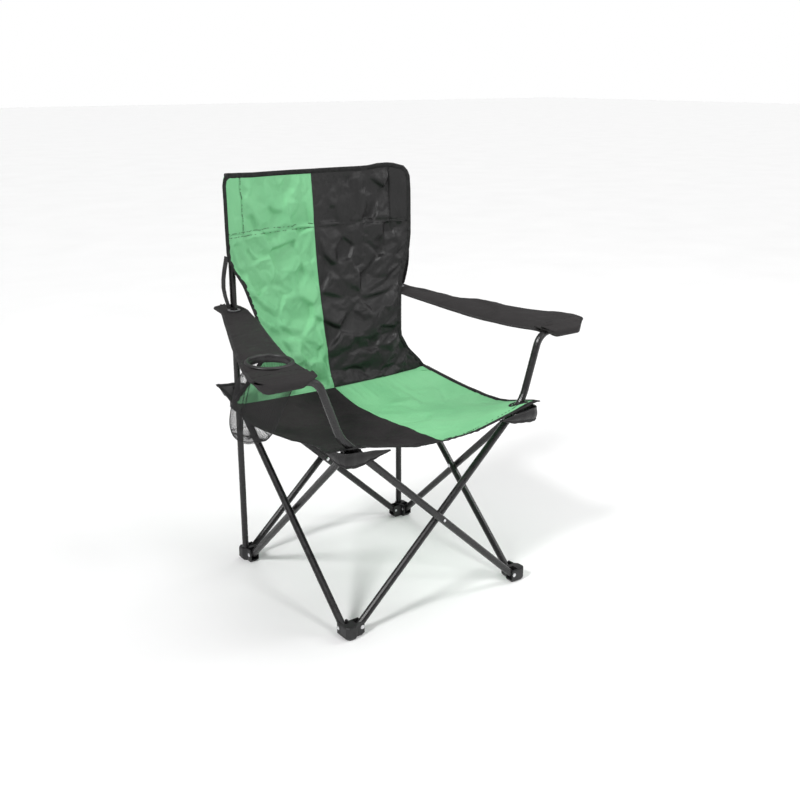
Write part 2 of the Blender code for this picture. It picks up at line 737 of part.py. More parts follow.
def build():
    clear_scene()
    mats = {
        "tube": material("powder_coat", (0.035, 0.035, 0.038), 0.38, 0.35),
        "plastic": material("black_plastic", (0.022, 0.022, 0.024), 0.45),
        "rivet": material("zinc_rivet", (0.78, 0.78, 0.80), 0.28, 1.0),
        "green": material("green_fabric", (0.225, 0.600, 0.310), 0.70),
        "black": material("black_fabric", (0.030, 0.029, 0.031), 0.75),
        "arm": material("armrest_fabric", (0.050, 0.048, 0.049), 0.80),
        "net": material("net_mesh", (0.060, 0.058, 0.060), 0.80),
        "ring": material("grey_eyelet", (0.180, 0.180, 0.190), 0.50),
        "strap": material("black_webbing", (0.028, 0.027, 0.028), 0.80),
    }
    middle_z = (FOOT_PIVOT_Z + TOP_PIVOT_Z) / 2.0
    ends = {name: tube_ends(*key) for name, key in X_TUBES.items()}

    def middle_of(name):
        low, high = ends[name]
        return (low.x + high.x) / 2.0, (low.y + high.y) / 2.0, middle_z

    tubes = {name: x_tube(name, mats) for name in X_TUBES}
    feet = {corner: foot(corner, mats) for corner in CORNERS}
    brackets = {
        "front_right": bracket("bracket_right", "front_right", mats),
        "front_left": bracket("bracket_left", "front_left", mats),
        "rear_left": bracket("collar_left", "rear_left", mats),
        "rear_right": bracket("collar_right", "rear_right", mats),
    }

    # rear legs: foot, post, cap, half the back, its strap and the eyelet below the strap
    for side, origin in ((-1, (0.0, 0.0, 0.0)), (1, ends["rear_tube_inner"][0])):
        name = side_name(side)
        cap = end_cap(f"post_cap_{name}", (side * CORNER, CORNER, POST_TOP_Z[side]), (0, 0, 1), POST_R, mats)
        attach(add_body(f"rear_leg_{name}", origin), *feet[f"rear_{name}"], post(side, mats), cap,
               back_panel(side, mats), strap(side, mats), arm_eyelet(side, mats))

    # front feet
    attach(add_body("front_foot_right", ends["right_tube_outer"][0]), *feet["front_right"])
    attach(add_body("front_foot_left", ends["front_tube_outer"][0]), *feet["front_left"])

    # scissor tubes; an outer tube carries the rivet of its crossing
    on_foot = {"rear_tube_outer", "right_tube_inner", "front_tube_inner", "left_tube_outer"}
    for name, tube in tubes.items():
        turns, outer = X_TUBES[name]
        pieces = [tube]
        if outer:
            pieces.append(cross_rivet(f"rivet_{name.split('_')[0]}_crossing", turns, mats))
        if name.startswith("front"):
            side = 1.0 if ends[name][1].x > 0 else -1.0
            tip = (side * ARM_END_X[side], ends[name][1].y, ARM_TOP_Z)
            pieces.append(end_cap(f"arm_cap_{side_name(side)}", tip, (side, 0, 0), TUBE_R, mats))
            pieces.append(seat_grommet(side, mats))
        origin = ends[name][0] if name in on_foot else middle_of(name)
        attach(add_body(name, origin), *pieces)

    # corner pieces at the top of the frame
    attach(add_body("collar_left", ends["rear_tube_outer"][1]), *brackets["rear_left"], rear_pocket(1.0, mats))
    attach(add_body("collar_right", ends["rear_tube_inner"][1]), *brackets["rear_right"],
           rear_pocket(-1.0, mats))
    attach(add_body("bracket_right", ends["right_tube_inner"][1]), *brackets["front_right"],
           front_pocket(-1.0, mats))
    attach(add_body("bracket_left", ends["left_tube_outer"][1]), *brackets["front_left"],
           front_pocket(1.0, mats))

    # seat halves turn down about the corners, armrests about the arm tubes
    for side in (-1.0, 1.0):
        name = side_name(side)
        attach(add_body(f"seat_{name}", (side * CORNER, -CORNER, SEAT_CORNER_Z)), seat_panel(side, mats))
        pieces = [armrest(side, mats)]
        if side < 0:
            pieces += cup_holder(pieces[0], mats)
        arm_tube = ends["front_tube_outer" if side < 0 else "front_tube_inner"]
        attach(add_body(f"arm_{name}", (side * 0.300, arm_tube[1].y, ARM_TOP_Z)), *pieces)


build()
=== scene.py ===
"""Looks of the folding camp chair: sewn two-colour seat and back, armrests, net cup holder, coated tube."""
import math

import bpy
import numpy as np
from mathutils import Matrix, Vector


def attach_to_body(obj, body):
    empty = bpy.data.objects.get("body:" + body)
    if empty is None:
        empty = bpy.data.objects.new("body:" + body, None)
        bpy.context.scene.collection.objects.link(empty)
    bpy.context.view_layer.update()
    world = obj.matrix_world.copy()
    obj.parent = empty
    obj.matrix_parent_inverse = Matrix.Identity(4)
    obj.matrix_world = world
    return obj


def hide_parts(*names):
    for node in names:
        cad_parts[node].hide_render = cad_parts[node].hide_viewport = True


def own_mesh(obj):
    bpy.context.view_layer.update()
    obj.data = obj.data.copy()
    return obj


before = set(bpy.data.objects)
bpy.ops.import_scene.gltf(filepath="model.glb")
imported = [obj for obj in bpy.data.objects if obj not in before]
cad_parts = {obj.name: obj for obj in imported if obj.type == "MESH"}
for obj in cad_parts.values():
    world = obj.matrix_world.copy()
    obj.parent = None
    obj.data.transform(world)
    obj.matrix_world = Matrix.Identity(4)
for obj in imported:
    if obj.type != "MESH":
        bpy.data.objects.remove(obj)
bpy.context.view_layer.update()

# ---------------------------------------------------------------- sizes, in metres

# The shapes below are measured from the middle of the four feet, which lies in front of the origin.
FEET_FORWARD = 0.0154
CORNER = 0.199            # corner axes of the leg frame, at +-x and +-y
CLOTH = 0.0009            # thickness of the coated cloth
TAPE = 0.0076             # width of the binding tape
SEAT_TOP = 0.368
ARM_TUBE_Z = 0.500
ARM_TUBE_Y = {-1: -(CORNER + 0.0075), 1: -(CORNER - 0.0075)}   # the two front tubes cross side by side
ARM_KEEP = 0.414          # share of its depth that an armrest keeps in the folded chair
UP = (0.0, 0.0, 1.0)

scene = bpy.context.scene
scene.view_settings.view_transform = "Standard"


def placed(point):
    """A point measured from the middle of the feet, in the chair's own frame."""
    return (point[0], point[1] - FEET_FORWARD, point[2])


# ---------------------------------------------------------------- camera, light and floor

CAMERA_AT = Vector((-1.11396, -1.57576, 0.97372))
CAMERA_TURN = math.radians(-36.581)
CAMERA_RISE = math.radians(17.581)

camera_data = bpy.data.cameras.new("camera")
camera_data.sensor_width = 36.0
camera_data.lens = 46.54
camera = bpy.data.objects.new("camera", camera_data)
scene.collection.objects.link(camera)
back = Vector((math.sin(CAMERA_TURN) * math.cos(CAMERA_RISE),
               -math.cos(CAMERA_TURN) * math.cos(CAMERA_RISE), math.sin(CAMERA_RISE)))
right = Vector((math.cos(CAMERA_TURN), math.sin(CAMERA_TURN), 0.0))
turn = Matrix((right, back.cross(right), back)).transposed().to_4x4()
camera.matrix_world = Matrix.Translation(placed(CAMERA_AT)) @ turn
scene.camera = camera


def add_light(name, kind, power, turn, at=(0.0, 0.0, 0.0)):
    data = bpy.data.lights.new(name, kind)
    data.energy = power
    lamp = bpy.data.objects.new(name, data)
    lamp.location = at
    lamp.rotation_euler = turn.to_euler()
    scene.collection.objects.link(lamp)
    return data


def area_light(name, at, size, power):
    """A softbox aimed at the chair's middle."""
    turn = (Vector((0.0, 0.0, 0.4)) - Vector(at)).to_track_quat("-Z", "Y")
    data = add_light(name, "AREA", power, turn, at)
    data.shape = "RECTANGLE"
    data.size, data.size_y = size


def sun_light(name, direction, strength, spread):
    """Even light over chair and floor; direction is where it comes from."""
    add_light(name, "SUN", strength, Vector(direction).to_track_quat("Z", "Y")).angle = math.radians(spread)


sun_light("key", (-0.95, -0.22, 0.80), 1.90, 12.0)
sun_light("top", (0.35, 0.10, 1.0), 0.95, 50.0)
area_light("glint_softbox", (0.25, -2.3, 2.2), (0.6, 0.6), 20.0)
area_light("strip_softbox", (2.1, -0.9, 1.9), (0.4, 1.4), 16.0)

# White where the camera sees it, dimmer as a light.
world = bpy.data.worlds.new("studio")
world.use_nodes = True
world_nodes, join_up = world.node_tree.nodes, world.node_tree.links.new
seen, dimmed = world_nodes["Background"], world_nodes.new("ShaderNodeBackground")
for shader, strength in ((seen, 1.0), (dimmed, 0.38)):
    shader.inputs["Color"].default_value = (1.0, 1.0, 1.0, 1.0)
    shader.inputs["Strength"].default_value = strength
choice = world_nodes.new("ShaderNodeMixShader")
paths = world_nodes.new("ShaderNodeLightPath")
join_up(paths.outputs["Is Camera Ray"], choice.inputs["Fac"])
join_up(dimmed.outputs["Background"], choice.inputs[1])
join_up(seen.outputs["Background"], choice.inputs[2])
join_up(choice.outputs["Shader"], world_nodes["World Output"].inputs["Surface"])
scene.world = world

# ---------------------------------------------------------------- materials


WAVE_PERIOD = 0.3142      # metres between the bands of Blender's wave texture at scale 1


class Look:
    """A Principled material with its nodes added one by one."""

    def __init__(self, name, roughness=0.6, metallic=0.0, shine=None):
        self.material = bpy.data.materials.new(name)
        self.material.use_nodes = True
        self.tree = self.material.node_tree
        self.shader = self.tree.nodes["Principled BSDF"]
        self.shader.inputs["Roughness"].default_value = roughness
        self.shader.inputs["Metallic"].default_value = metallic
        if shine is not None:
            self.shader.inputs["Specular IOR Level"].default_value = shine
        self.normal = None

    def node(self, kind, vector=None, **settings):
        """A node; settings are its properties and inputs, with an input's spaces as underscores."""
        made = self.tree.nodes.new(kind)
        for key, value in settings.items():
            socket = key.replace("_", " ")
            if socket in made.inputs:
                made.inputs[socket].default_value = value
            else:
                setattr(made, key, value)
        if vector is not None:
            self.link(vector, made.inputs["Vector"])
        return made

    def link(self, out, into):
        self.tree.links.new(out, into)

    def place(self, uv=False, stretch=(1.0, 1.0, 1.0)):
        """Coordinates in metres, on the cloth when uv is true and in the chair's frame when not."""
        source = self.node("ShaderNodeTexCoord").outputs["UV" if uv else "Object"]
        return self.node("ShaderNodeMapping", source, Scale=stretch).outputs["Vector"]

    def noise(self, scale, detail=3.0, uv=False, stretch=(1.0, 1.0, 1.0), roughness=0.5):
        place = self.place(uv, stretch)
        made = self.node("ShaderNodeTexNoise", place, Scale=scale, Detail=detail, Roughness=roughness)
        return made.outputs["Fac"]

    def facets(self, scale):
        """Smoothed Voronoi cells: the flat facets of cloth that was packed folded."""
        made = self.node("ShaderNodeTexVoronoi", self.place(True), feature="SMOOTH_F1", Scale=scale,
                         Smoothness=0.35)
        return made.outputs["Distance"]

    def threads(self, direction, pitch, distortion, detail_scale=1.0):
        """Threads that lie side by side, pitch apart."""
        made = self.node("ShaderNodeTexWave", self.place(True), bands_direction=direction,
                         Scale=WAVE_PERIOD / pitch, Distortion=distortion, Detail_Scale=detail_scale)
        return made.outputs["Fac"]

    def weave(self, pitch):
        """Plain weave: two crossed sets of threads."""
        return self.math("MULTIPLY", self.threads("X", pitch, 0.15, 2.0), self.threads("Y", pitch, 0.15, 2.0))

    def math(self, operation, a, b):
        made = self.node("ShaderNodeMath", operation=operation)
        for value, socket in zip((a, b), made.inputs):
            if isinstance(value, float):
                socket.default_value = value
            else:
                self.link(value, socket)
        return made.outputs[0]

    def colour(self, fac, *stops):
        """Base colour: a ramp over fac, with stops of (place, colour)."""
        made = self.node("ShaderNodeValToRGB")
        elements = made.color_ramp.elements
        while len(elements) < len(stops):
            elements.new(0.5)
        for element, (at, shade) in zip(elements, stops):
            element.position = at
            element.color = (*shade, 1.0)
        self.link(fac, made.inputs["Fac"])
        self.link(made.outputs["Color"], self.shader.inputs["Base Color"])

    def rough(self, fac, low, high):
        """Roughness: the middle of a noise mapped onto low..high."""
        made = self.node("ShaderNodeMapRange", From_Min=0.3, From_Max=0.7, To_Min=low, To_Max=high)
        self.link(fac, made.inputs["Value"])
        self.link(made.outputs["Result"], self.shader.inputs["Roughness"])

    def bump(self, height, distance, strength):
        made = self.node("ShaderNodeBump", Strength=strength, Distance=distance)
        self.link(height, made.inputs["Height"])
        if self.normal is not None:
            self.link(self.normal, made.inputs["Normal"])
        self.normal = made.outputs["Normal"]

    def done(self):
        if self.normal is not None:
            self.link(self.normal, self.shader.inputs["Normal"])
        return self.material


def mixed(a, b, t):
    return tuple(x + (y - x) * t for x, y in zip(a, b))


def cloth_look(name, light, dark, roughness, shine, crease=0.0011):
    """Coated polyester: fine plain weave, small packing creases, a slightly uneven sheen."""
    look = Look(name, shine=shine)
    patches, fine = look.noise(9.0, 4.0, True), look.noise(900.0, 2.0, True)
    tone = look.math("ADD", look.math("MULTIPLY", patches, 0.8), look.math("MULTIPLY", fine, 0.2))
    look.colour(tone, (0.30, dark), (0.52, mixed(dark, light, 0.75)), (0.72, light))
    look.rough(look.noise(35.0, 3.0, True), *roughness)
    look.bump(look.facets(38.0), crease, 0.55)
    look.bump(look.noise(70.0, 4.0, True, roughness=0.55), crease * 0.9, 0.5)
    look.bump(look.weave(0.0007), 0.00012, 0.6)
    return look.done()


def tape_look(name, colour, pitch=0.0011):
    """Woven tape or webbing: ribs across its length, worn a little lighter on its high spots."""
    look = Look(name, shine=0.30)
    look.colour(look.noise(120.0, 4.0), (0.35, colour), (0.68, mixed(colour, (0.25, 0.25, 0.25), 0.06)))
    look.rough(look.noise(60.0), 0.62, 0.80)
    look.bump(look.threads("X", pitch, 0.4), 0.00020, 0.8)
    look.bump(look.noise(500.0, 2.0), 0.00012, 0.5)
    return look.done()


def coat_look(name, colour, roughness, grain, worn):
    """Powder coat on tube: fine orange peel, faint scuffs along the tube."""
    look = Look(name, shine=0.46)
    scuff = look.noise(26.0, 6.0, stretch=(1.0, 1.0, 0.35), roughness=0.7)
    look.colour(scuff, (0.40, colour), (0.66, mixed(colour, worn, 0.35)), (0.80, worn))
    look.rough(look.noise(90.0, 4.0), roughness - 0.06, roughness + 0.08)
    look.bump(look.noise(grain, 2.0), 0.00012, 0.35)
    return look.done()


def moulded_look(name, colour, roughness=0.46):
    """Moulded plastic: fine spark-eroded grain, paler where it is rubbed."""
    look = Look(name, shine=0.5)
    look.colour(look.noise(45.0, 5.0), (0.38, colour), (0.75, mixed(colour, (0.2, 0.2, 0.2), 0.07)))
    look.rough(look.noise(70.0, 3.0), roughness - 0.07, roughness + 0.10)
    look.bump(look.noise(1500.0, 2.0), 0.00010, 0.5)
    look.bump(look.noise(120.0, 2.0), 0.00025, 0.25)
    return look.done()


def zinc_look():
    """Zinc plate on the rivets, uneven as it comes from the bath."""
    look = Look("zinc_plate", metallic=1.0)
    look.colour(look.noise(160.0, 4.0), (0.35, (0.55, 0.55, 0.57)), (0.65, (0.88, 0.88, 0.90)))
    look.rough(look.noise(220.0, 3.0), 0.22, 0.42)
    look.bump(look.noise(700.0, 3.0), 0.00008, 0.4)
    return look.done()


GREEN, GREEN_DARK = (0.225, 0.580, 0.292), (0.158, 0.470, 0.222)
BLACK, BLACK_DARK = (0.0115, 0.0108, 0.0112), (0.0070, 0.0067, 0.0070)
# Painted light: the seat's black is the same cloth as the back's, given a lighter base colour for the light
# and sheen the seat catches from above.
SEAT_BLACK_PAINTED_LIGHT = (0.0270, 0.0225, 0.0245)
CHARCOAL, CHARCOAL_DARK = (0.0285, 0.0262, 0.0266), (0.0200, 0.0184, 0.0188)

LOOK = {
    "green": cloth_look("green_polyester", GREEN, GREEN_DARK, (0.48, 0.62), 0.30),
    "black": cloth_look("black_polyester", BLACK, BLACK_DARK, (0.36, 0.46), 0.42),
    # Painted light: the seat's copy of the black cloth, lighter than the back's, and rougher.
    "black_seat_painted_light": cloth_look("black_seat_polyester_painted_light", SEAT_BLACK_PAINTED_LIGHT, BLACK_DARK, (0.66, 0.80), 0.20),
    "charcoal": cloth_look("charcoal_polyester", CHARCOAL, CHARCOAL_DARK, (0.66, 0.84), 0.20, 0.0008),
    "tape": tape_look("black_binding_tape", (0.0075, 0.0072, 0.0075)),
    "arm_tape": tape_look("charcoal_binding_tape", (0.0200, 0.0185, 0.0190)),
    "webbing": tape_look("black_webbing", (0.0130, 0.0122, 0.0130), 0.0016),
    "thread": tape_look("black_thread", (0.0110, 0.0110, 0.0110), 0.0004),
    "net": tape_look("net_yarn", (0.0220, 0.0210, 0.0220), 0.0005),
    "tube": coat_look("black_powder_coat", (0.0075, 0.0071, 0.0074), 0.29, 900.0, (0.026, 0.025, 0.026)),
    "plastic": moulded_look("black_moulding", (0.0070, 0.0070, 0.0075)),
    "ring": moulded_look("cup_ring_moulding", (0.0140, 0.0132, 0.0135), 0.42),
    "eyelet": moulded_look("grey_eyelet_moulding", (0.20, 0.20, 0.21), 0.5),
    "zinc": zinc_look(),
}


def paint(obj, look):
    obj.data.materials.clear()
    obj.data.materials.append(LOOK[look])


NODE_LOOK = {             # what a CAD node's name has in it, and its look
    "rivet": "zinc", "foot": "plastic", "bracket": "plastic", "collar": "plastic", "post_cap": "plastic",
    "arm_cap": "plastic", "cup_ring": "ring", "arm_eyelet": "eyelet", "tube": "tube", "post": "tube"}

for name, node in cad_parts.items():
    key = next((key for key in NODE_LOOK if key in name), None)
    if key:
        paint(node, NODE_LOOK[key])

# ---------------------------------------------------------------- mesh building


def unit(v):
    return v / np.maximum(np.linalg.norm(v, axis=-1, keepdims=True), 1e-12)


def along_line(points):
    """Length from the first point to each point of a line."""
    return np.concatenate([[0.0], np.cumsum(np.linalg.norm(np.diff(points, axis=0), axis=1))])


def resample(points, count):
    """The line as count points, evenly spaced over all its columns."""
    points = np.asarray(points, float)
    along = along_line(points)
    at = np.linspace(0.0, along[-1], count)
    return np.stack([np.interp(at, along, column) for column in points.T], axis=1)


def new_mesh(name, verts, faces, look, uv=None):
    mesh = bpy.data.meshes.new(name)
    mesh.from_pydata([placed(v) for v in verts], [], [tuple(int(i) for i in f) for f in faces])
    if uv is not None:
        layer = mesh.uv_layers.new(name="cloth")
        index = np.empty(len(mesh.loops), int)
        mesh.loops.foreach_get("vertex_index", index)
        layer.data.foreach_set("uv", np.asarray(uv, np.float32)[index].ravel())
    mesh.validate()
    mesh.shade_smooth()
    obj = bpy.data.objects.new(name, mesh)
    scene.collection.objects.link(obj)
    paint(obj, look)
    return obj


class Grid:
    """Points of a sheet in columns and rows, with normals and lengths measured along the cloth."""

    def __init__(self, points):
        self.p = np.array(points, float)
        step_u = np.linalg.norm(np.diff(self.p, axis=0), axis=-1)
        step_v = np.linalg.norm(np.diff(self.p, axis=1), axis=-1)
        self.u = np.concatenate([np.zeros((1, self.p.shape[1])), np.cumsum(step_u, axis=0)])
        self.u -= self.u[len(self.u) // 2]
        self.v = np.concatenate([np.zeros((self.p.shape[0], 1)), np.cumsum(step_v, axis=1)], axis=1)

    def normals(self):
        return unit(np.cross(np.gradient(self.p, axis=0), np.gradient(self.p, axis=1)))

    def at(self, i, j):
        """Point and normal at fractional columns and rows."""
        i, j = np.broadcast_arrays(np.asarray(i, float), np.asarray(j, float))
        columns, rows = self.p.shape[:2]
        a = np.clip(np.floor(i).astype(int), 0, columns - 2)
        b = np.clip(np.floor(j).astype(int), 0, rows - 2)
        s, t = (i - a)[..., None], (j - b)[..., None]
        normal = self.normals()

        def blend(f):
            low = f[a, b] * (1 - s) + f[a + 1, b] * s
            high = f[a, b + 1] * (1 - s) + f[a + 1, b + 1] * s
            return low * (1 - t) + high * t

        return blend(self.p), unit(blend(normal))

    def solid(self, name, look, keep=None, thickness=CLOTH):
        """A closed thin solid over the kept faces."""
        columns, rows = self.p.shape[:2]
        if keep is None:
            keep = np.ones((columns - 1, rows - 1), bool)
        self.kept = keep
        index = np.arange(columns * rows).reshape(columns, rows)
        a, b = index[:-1, :-1][keep], index[1:, :-1][keep]
        c, d = index[1:, 1:][keep], index[:-1, 1:][keep]
        quads = np.stack([a, b, c, d], axis=1)
        used, quads = np.unique(quads, return_inverse=True)
        quads = quads.reshape(-1, 4)
        flat = self.p.reshape(-1, 3)[used]
        normal = self.normals().reshape(-1, 3)[used] * thickness / 2.0
        count = len(used)
        edges = {}        # the rim: edges that only one face has, in their order
        for quad in quads:
            for p, q in zip(quad, np.roll(quad, -1)):
                if edges.pop((q, p), None) is None:
                    edges[(p, q)] = True
        faces = [tuple(q) for q in quads] + [tuple(q[::-1] + count) for q in quads]
        faces += [(p, p + count, q + count, q) for p, q in edges]
        uv = np.stack([self.u.ravel()[used], self.v.ravel()[used]], axis=1)
        return new_mesh(name, np.vstack([flat + normal, flat - normal]), faces, look, np.vstack([uv, uv]))

    def cut(self):
        """Width, length and area of the flat cut of the kept faces."""
        wide = np.linalg.norm(np.diff(self.p, axis=0), axis=-1)
        tall = np.linalg.norm(np.diff(self.p, axis=1), axis=-1)
        one, two = self.p[1:, 1:] - self.p[:-1, :-1], self.p[1:, :-1] - self.p[:-1, 1:]
        area = np.linalg.norm(np.cross(one, two), axis=-1) / 2.0
        width = (wide[:, :-1] * self.kept).sum(axis=0).max()
        length = (tall[:-1] * self.kept).sum(axis=1).max()
        return float(width), float(length), float(min((area * self.kept).sum(), width * length))

    def edge(self, side):
        """Edge points, the way into the sheet, and normals, on side left, right, bottom or top."""
        p, n = self.p, self.normals()
        if side in ("bottom", "top"):
            p, n = p.swapaxes(0, 1), n.swapaxes(0, 1)
        last, inner = (0, 1) if side in ("left", "bottom") else (-1, -2)
        return p[last], p[inner] - p[last], n[last]


def sweep(name, centre, across, normal, profile, look, closed=False):
    """A closed profile of (across, normal) offsets carried along a line."""
    profile = np.array(profile)
    rings = (centre[:, None, :] + across[:, None, :] * profile[None, :, :1]
             + normal[:, None, :] * profile[None, :, 1:])
    count, sides = rings.shape[:2]
    uv = np.stack(np.broadcast_arrays(along_line(centre)[:, None], along_line(profile)[None, :]), axis=-1)
    faces = []
    for i in range(count if closed else count - 1):
        k = (i + 1) % count
        for j in range(sides):
            m = (j + 1) % sides
            faces.append((i * sides + j, k * sides + j, k * sides + m, i * sides + m))
    if not closed:
        faces.append(tuple(range(sides)))
        faces.append(tuple(range((count - 1) * sides, count * sides))[::-1])
    obj = new_mesh(name, rings.reshape(-1, 3), faces, look, uv.reshape(-1, 2))
    if signed_volume(obj.data) < 0.0:
        obj.data.flip_normals()
    return obj


def signed_volume(mesh):
    mesh.calc_loop_triangles()
    tri = np.array([t.vertices[:] for t in mesh.loop_triangles])
    co = np.array([v.co[:] for v in mesh.vertices])
    a, b, c = co[tri[:, 0]], co[tri[:, 1]], co[tri[:, 2]]
    return float(np.einsum("ij,ij->i", a, np.cross(b, c)).sum())


def binding(name, edge, look="tape", width=TAPE, count=None):
    """Tape folded over an edge of a sheet: (edge points, way in, normals)."""
    points, inward, normal = edge
    if count:
        table = resample(np.hstack([points, unit(inward), normal]), count)
        points, inward, normal = table[:, :3], table[:, 3:6], table[:, 6:]
    tangent = unit(np.gradient(points, axis=0))
    inward = unit(inward - tangent * np.sum(inward * tangent, axis=1, keepdims=True))
    face = np.cross(tangent, inward)
    normal = unit(face * np.sign(np.sum(face * normal, axis=1))[:, None])
    h = CLOTH / 2.0
    profile = [(width, h), (width - 0.0005, h + 0.0007), (0.0010, h + 0.0009), (-0.0008, h + 0.0003),
               (-0.0012, 0.0), (-0.0008, -h - 0.0003), (0.0010, -h - 0.0009), (width - 0.0005, -h - 0.0007),
               (width, -h)]
    return sweep(name, points, inward, normal, profile, look)


# The rings of a stitch: place along it, thickness and rise, as shares of its length and radius.
STITCH_RINGS = ((-0.5, 0.35, -0.2), (-0.32, 1.0, 0.5), (0.32, 1.0, 0.5), (0.5, 0.35, -0.2))


def stitches(name, lines, lift=0.0, look="thread", pitch=0.0052, length=0.0038, radius=0.00042):
    """Rows of thread, lifted off the cloth: each line is (points, normals)."""
    verts, faces = [], []
    for points, normal in lines:
        points = points + normal * lift
        total = np.linalg.norm(np.diff(points, axis=0), axis=1).sum()
        count = max(2, int(total / pitch))
        table = resample(np.hstack([points, normal]), count * 2 + 1)
        centre, n = table[1::2, :3], unit(table[1::2, 3:])
        along = unit(table[2::2, :3] - table[0:-1:2, :3])
        side = unit(np.cross(along, n))
        for c, a, s, m in zip(centre, along, side, n):
            base = len(verts)
            for share, scale, rise in STITCH_RINGS:
                for k in range(6):
                    angle = math.pi * k / 3.0
                    verts.append(c + a * length * share
                                 + (s * math.cos(angle) + m * (math.sin(angle) + rise)) * radius * scale)
            for ring in range(base, base + 18, 6):
                for k in range(6):
                    q = (k + 1) % 6
                    faces.append((ring + k, ring + q, ring + 6 + q, ring + 6 + k))
            faces.append(tuple(base + k for k in range(6))[::-1])
            faces.append(tuple(base + 18 + k for k in range(6)))
    return new_mesh(name, verts, faces, look)


def join(name, pieces):
    """Joins pieces of one material into one object."""
    with bpy.context.temp_override(active_object=pieces[0], selected_editable_objects=pieces):
        bpy.ops.object.join()
    pieces[0].name = name
    return pieces[0]


# ---------------------------------------------------------------- cloth


def folds(u, v, table):
    """Heights of named creases: (u, v, angle in degrees, half length, half width, height)."""
    height = np.zeros(np.broadcast(u, v).shape)
    for cu, cv, angle, length, width, depth in table:
        c, s = math.cos(math.radians(angle)), math.sin(math.radians(angle))
        along = ((u - cu) * c + (v - cv) * s) / length
        across = (-(u - cu) * s + (v - cv) * c) / width
        window = np.clip(1.0 - along ** 2, 0.0, None)
        height += depth * window * np.clip(1.15 - np.sqrt(across ** 2 + 0.05), 0.0, None)
    return height


def packing_creases(seed, count, low, high, size, depth):
    """Random creases like those of cloth that was packed folded."""
    rng = np.random.default_rng(seed)
    table = []
    for _ in range(count):
        centre = rng.uniform(low, high)
        length = size * rng.uniform(0.5, 1.3)
        table.append((centre[0], centre[1], rng.uniform(0.0, 180.0), length, length * rng.uniform(0.25, 0.5),
                      depth * rng.choice([-1.0, 1.0]) * rng.uniform(0.4, 1.0)))
    return table


def crumple(u, v, seed, count, low, high, tilt, blend):
    """Flat facets of random tilt that run into each other, as cloth keeps after it was crushed in its bag."""
    rng = np.random.default_rng(seed)
    centre = rng.uniform(low, high, (count, 2))
    slope = rng.normal(0.0, tilt, (count, 2))
    total, weight = np.zeros(np.broadcast(u, v).shape), np.zeros(np.broadcast(u, v).shape)
    nearest = np.full(weight.shape, np.inf)
    for cu, cv in centre:
        nearest = np.minimum(nearest, np.hypot(u - cu, v - cv))
    for (cu, cv), (su, sv) in zip(centre, slope):
        du, dv = u - cu, v - cv
        share = np.exp(-(np.hypot(du, dv) - nearest) / blend)
        total += share * (su * du + sv * dv)
        weight += share
    return total / weight


SIM_STEP = 2              # the cloth is simulated on every second column and row


def simulate(grid, pin, frames, slack, gravity, limit, bending=0.35):
    """Settles the sheet with Blender's cloth; pin is 1 where it is sewn or held. slack adds cloth."""
    coarse = grid.p[::SIM_STEP, ::SIM_STEP]
    weights = pin[::SIM_STEP, ::SIM_STEP].ravel()
    columns, rows = coarse.shape[:2]
    index = np.arange(columns * rows).reshape(columns, rows)
    quads = np.stack([index[:-1, :-1], index[1:, :-1], index[1:, 1:], index[:-1, 1:]], axis=-1).reshape(-1, 4)
    start = coarse.reshape(-1, 3).copy()
    obj = new_mesh("simulated", start, quads, "black")
    group = obj.vertex_groups.new(name="pin")
    for level in np.unique(np.round(weights, 2)):
        if level > 0.0:
            held = np.flatnonzero(np.round(weights, 2) == level)
            group.add(held.tolist(), float(level), "REPLACE")
    cloth = obj.modifiers.new("cloth", "CLOTH")
    settings = cloth.settings
    settings.quality = 5
    settings.mass = 0.25
    settings.tension_stiffness = 25.0
    settings.compression_stiffness = 25.0
    settings.shear_stiffness = 8.0
    settings.bending_stiffness = bending
    settings.tension_damping = 12.0
    settings.compression_damping = 12.0
    settings.air_damping = 4.0
    settings.vertex_group_mass = "pin"
    settings.shrink_min = -slack
    settings.effector_weights.gravity = gravity
    cloth.point_cache.frame_start = 1
    cloth.point_cache.frame_end = frames
    for frame_number in range(1, frames + 1):
        scene.frame_set(frame_number)
    evaluated = obj.evaluated_get(bpy.context.evaluated_depsgraph_get())
    co = np.empty(len(evaluated.data.vertices) * 3)
    evaluated.data.vertices.foreach_get("co", co)
    move = co.reshape(-1, 3) + (0.0, FEET_FORWARD, 0.0) - start
    size = np.linalg.norm(move, axis=1, keepdims=True)
    move *= np.minimum(1.0, limit / np.maximum(size, 1e-9))
    move = move.reshape(columns, rows, 3)
    i = np.minimum(np.arange(grid.p.shape[0]) / SIM_STEP, columns - 1)
    j = np.minimum(np.arange(grid.p.shape[1]) / SIM_STEP, rows - 1)
    a, b = np.minimum(i.astype(int), columns - 2), np.minimum(j.astype(int), rows - 2)
    s, t = (i - a)[:, None, None], (j - b)[None, :, None]
    low = move[a][:, b] * (1 - s) + move[a + 1][:, b] * s
    high = move[a][:, b + 1] * (1 - s) + move[a + 1][:, b + 1] * s
    grid.p = grid.p + low * (1 - t) + high * t
    scene.frame_set(1)
    bpy.data.objects.remove(obj, do_unlink=True)


def declare(grid):
    width, length, area = grid.cut()


def smoothstep(a, b, x):
    t = np.clip((x - a) / (b - a), 0.0, 1.0)
    return t * t * (3.0 - 2.0 * t)


def side_name(side):
    return "left" if side > 0 else "right"


def half_faces(grid, middle, side):
    """The faces on the given side of the seam, which is column middle."""
    left = np.tile((np.arange(grid.p.shape[0] - 1) >= middle)[:, None], (1, grid.p.shape[1] - 1))
    return left if side > 0 else ~left


def outer_edge(grid, side):
    """The edge on the chair's outside; a grid's columns run from the sitter's right to the left."""
    return grid.edge("right" if side > 0 else "left")


def mirrored(points, side):
    """Points of the left side moved to the given side, their columns still from right to left."""
    points[..., 0] *= side
    return points[::-1] if side < 0 else points


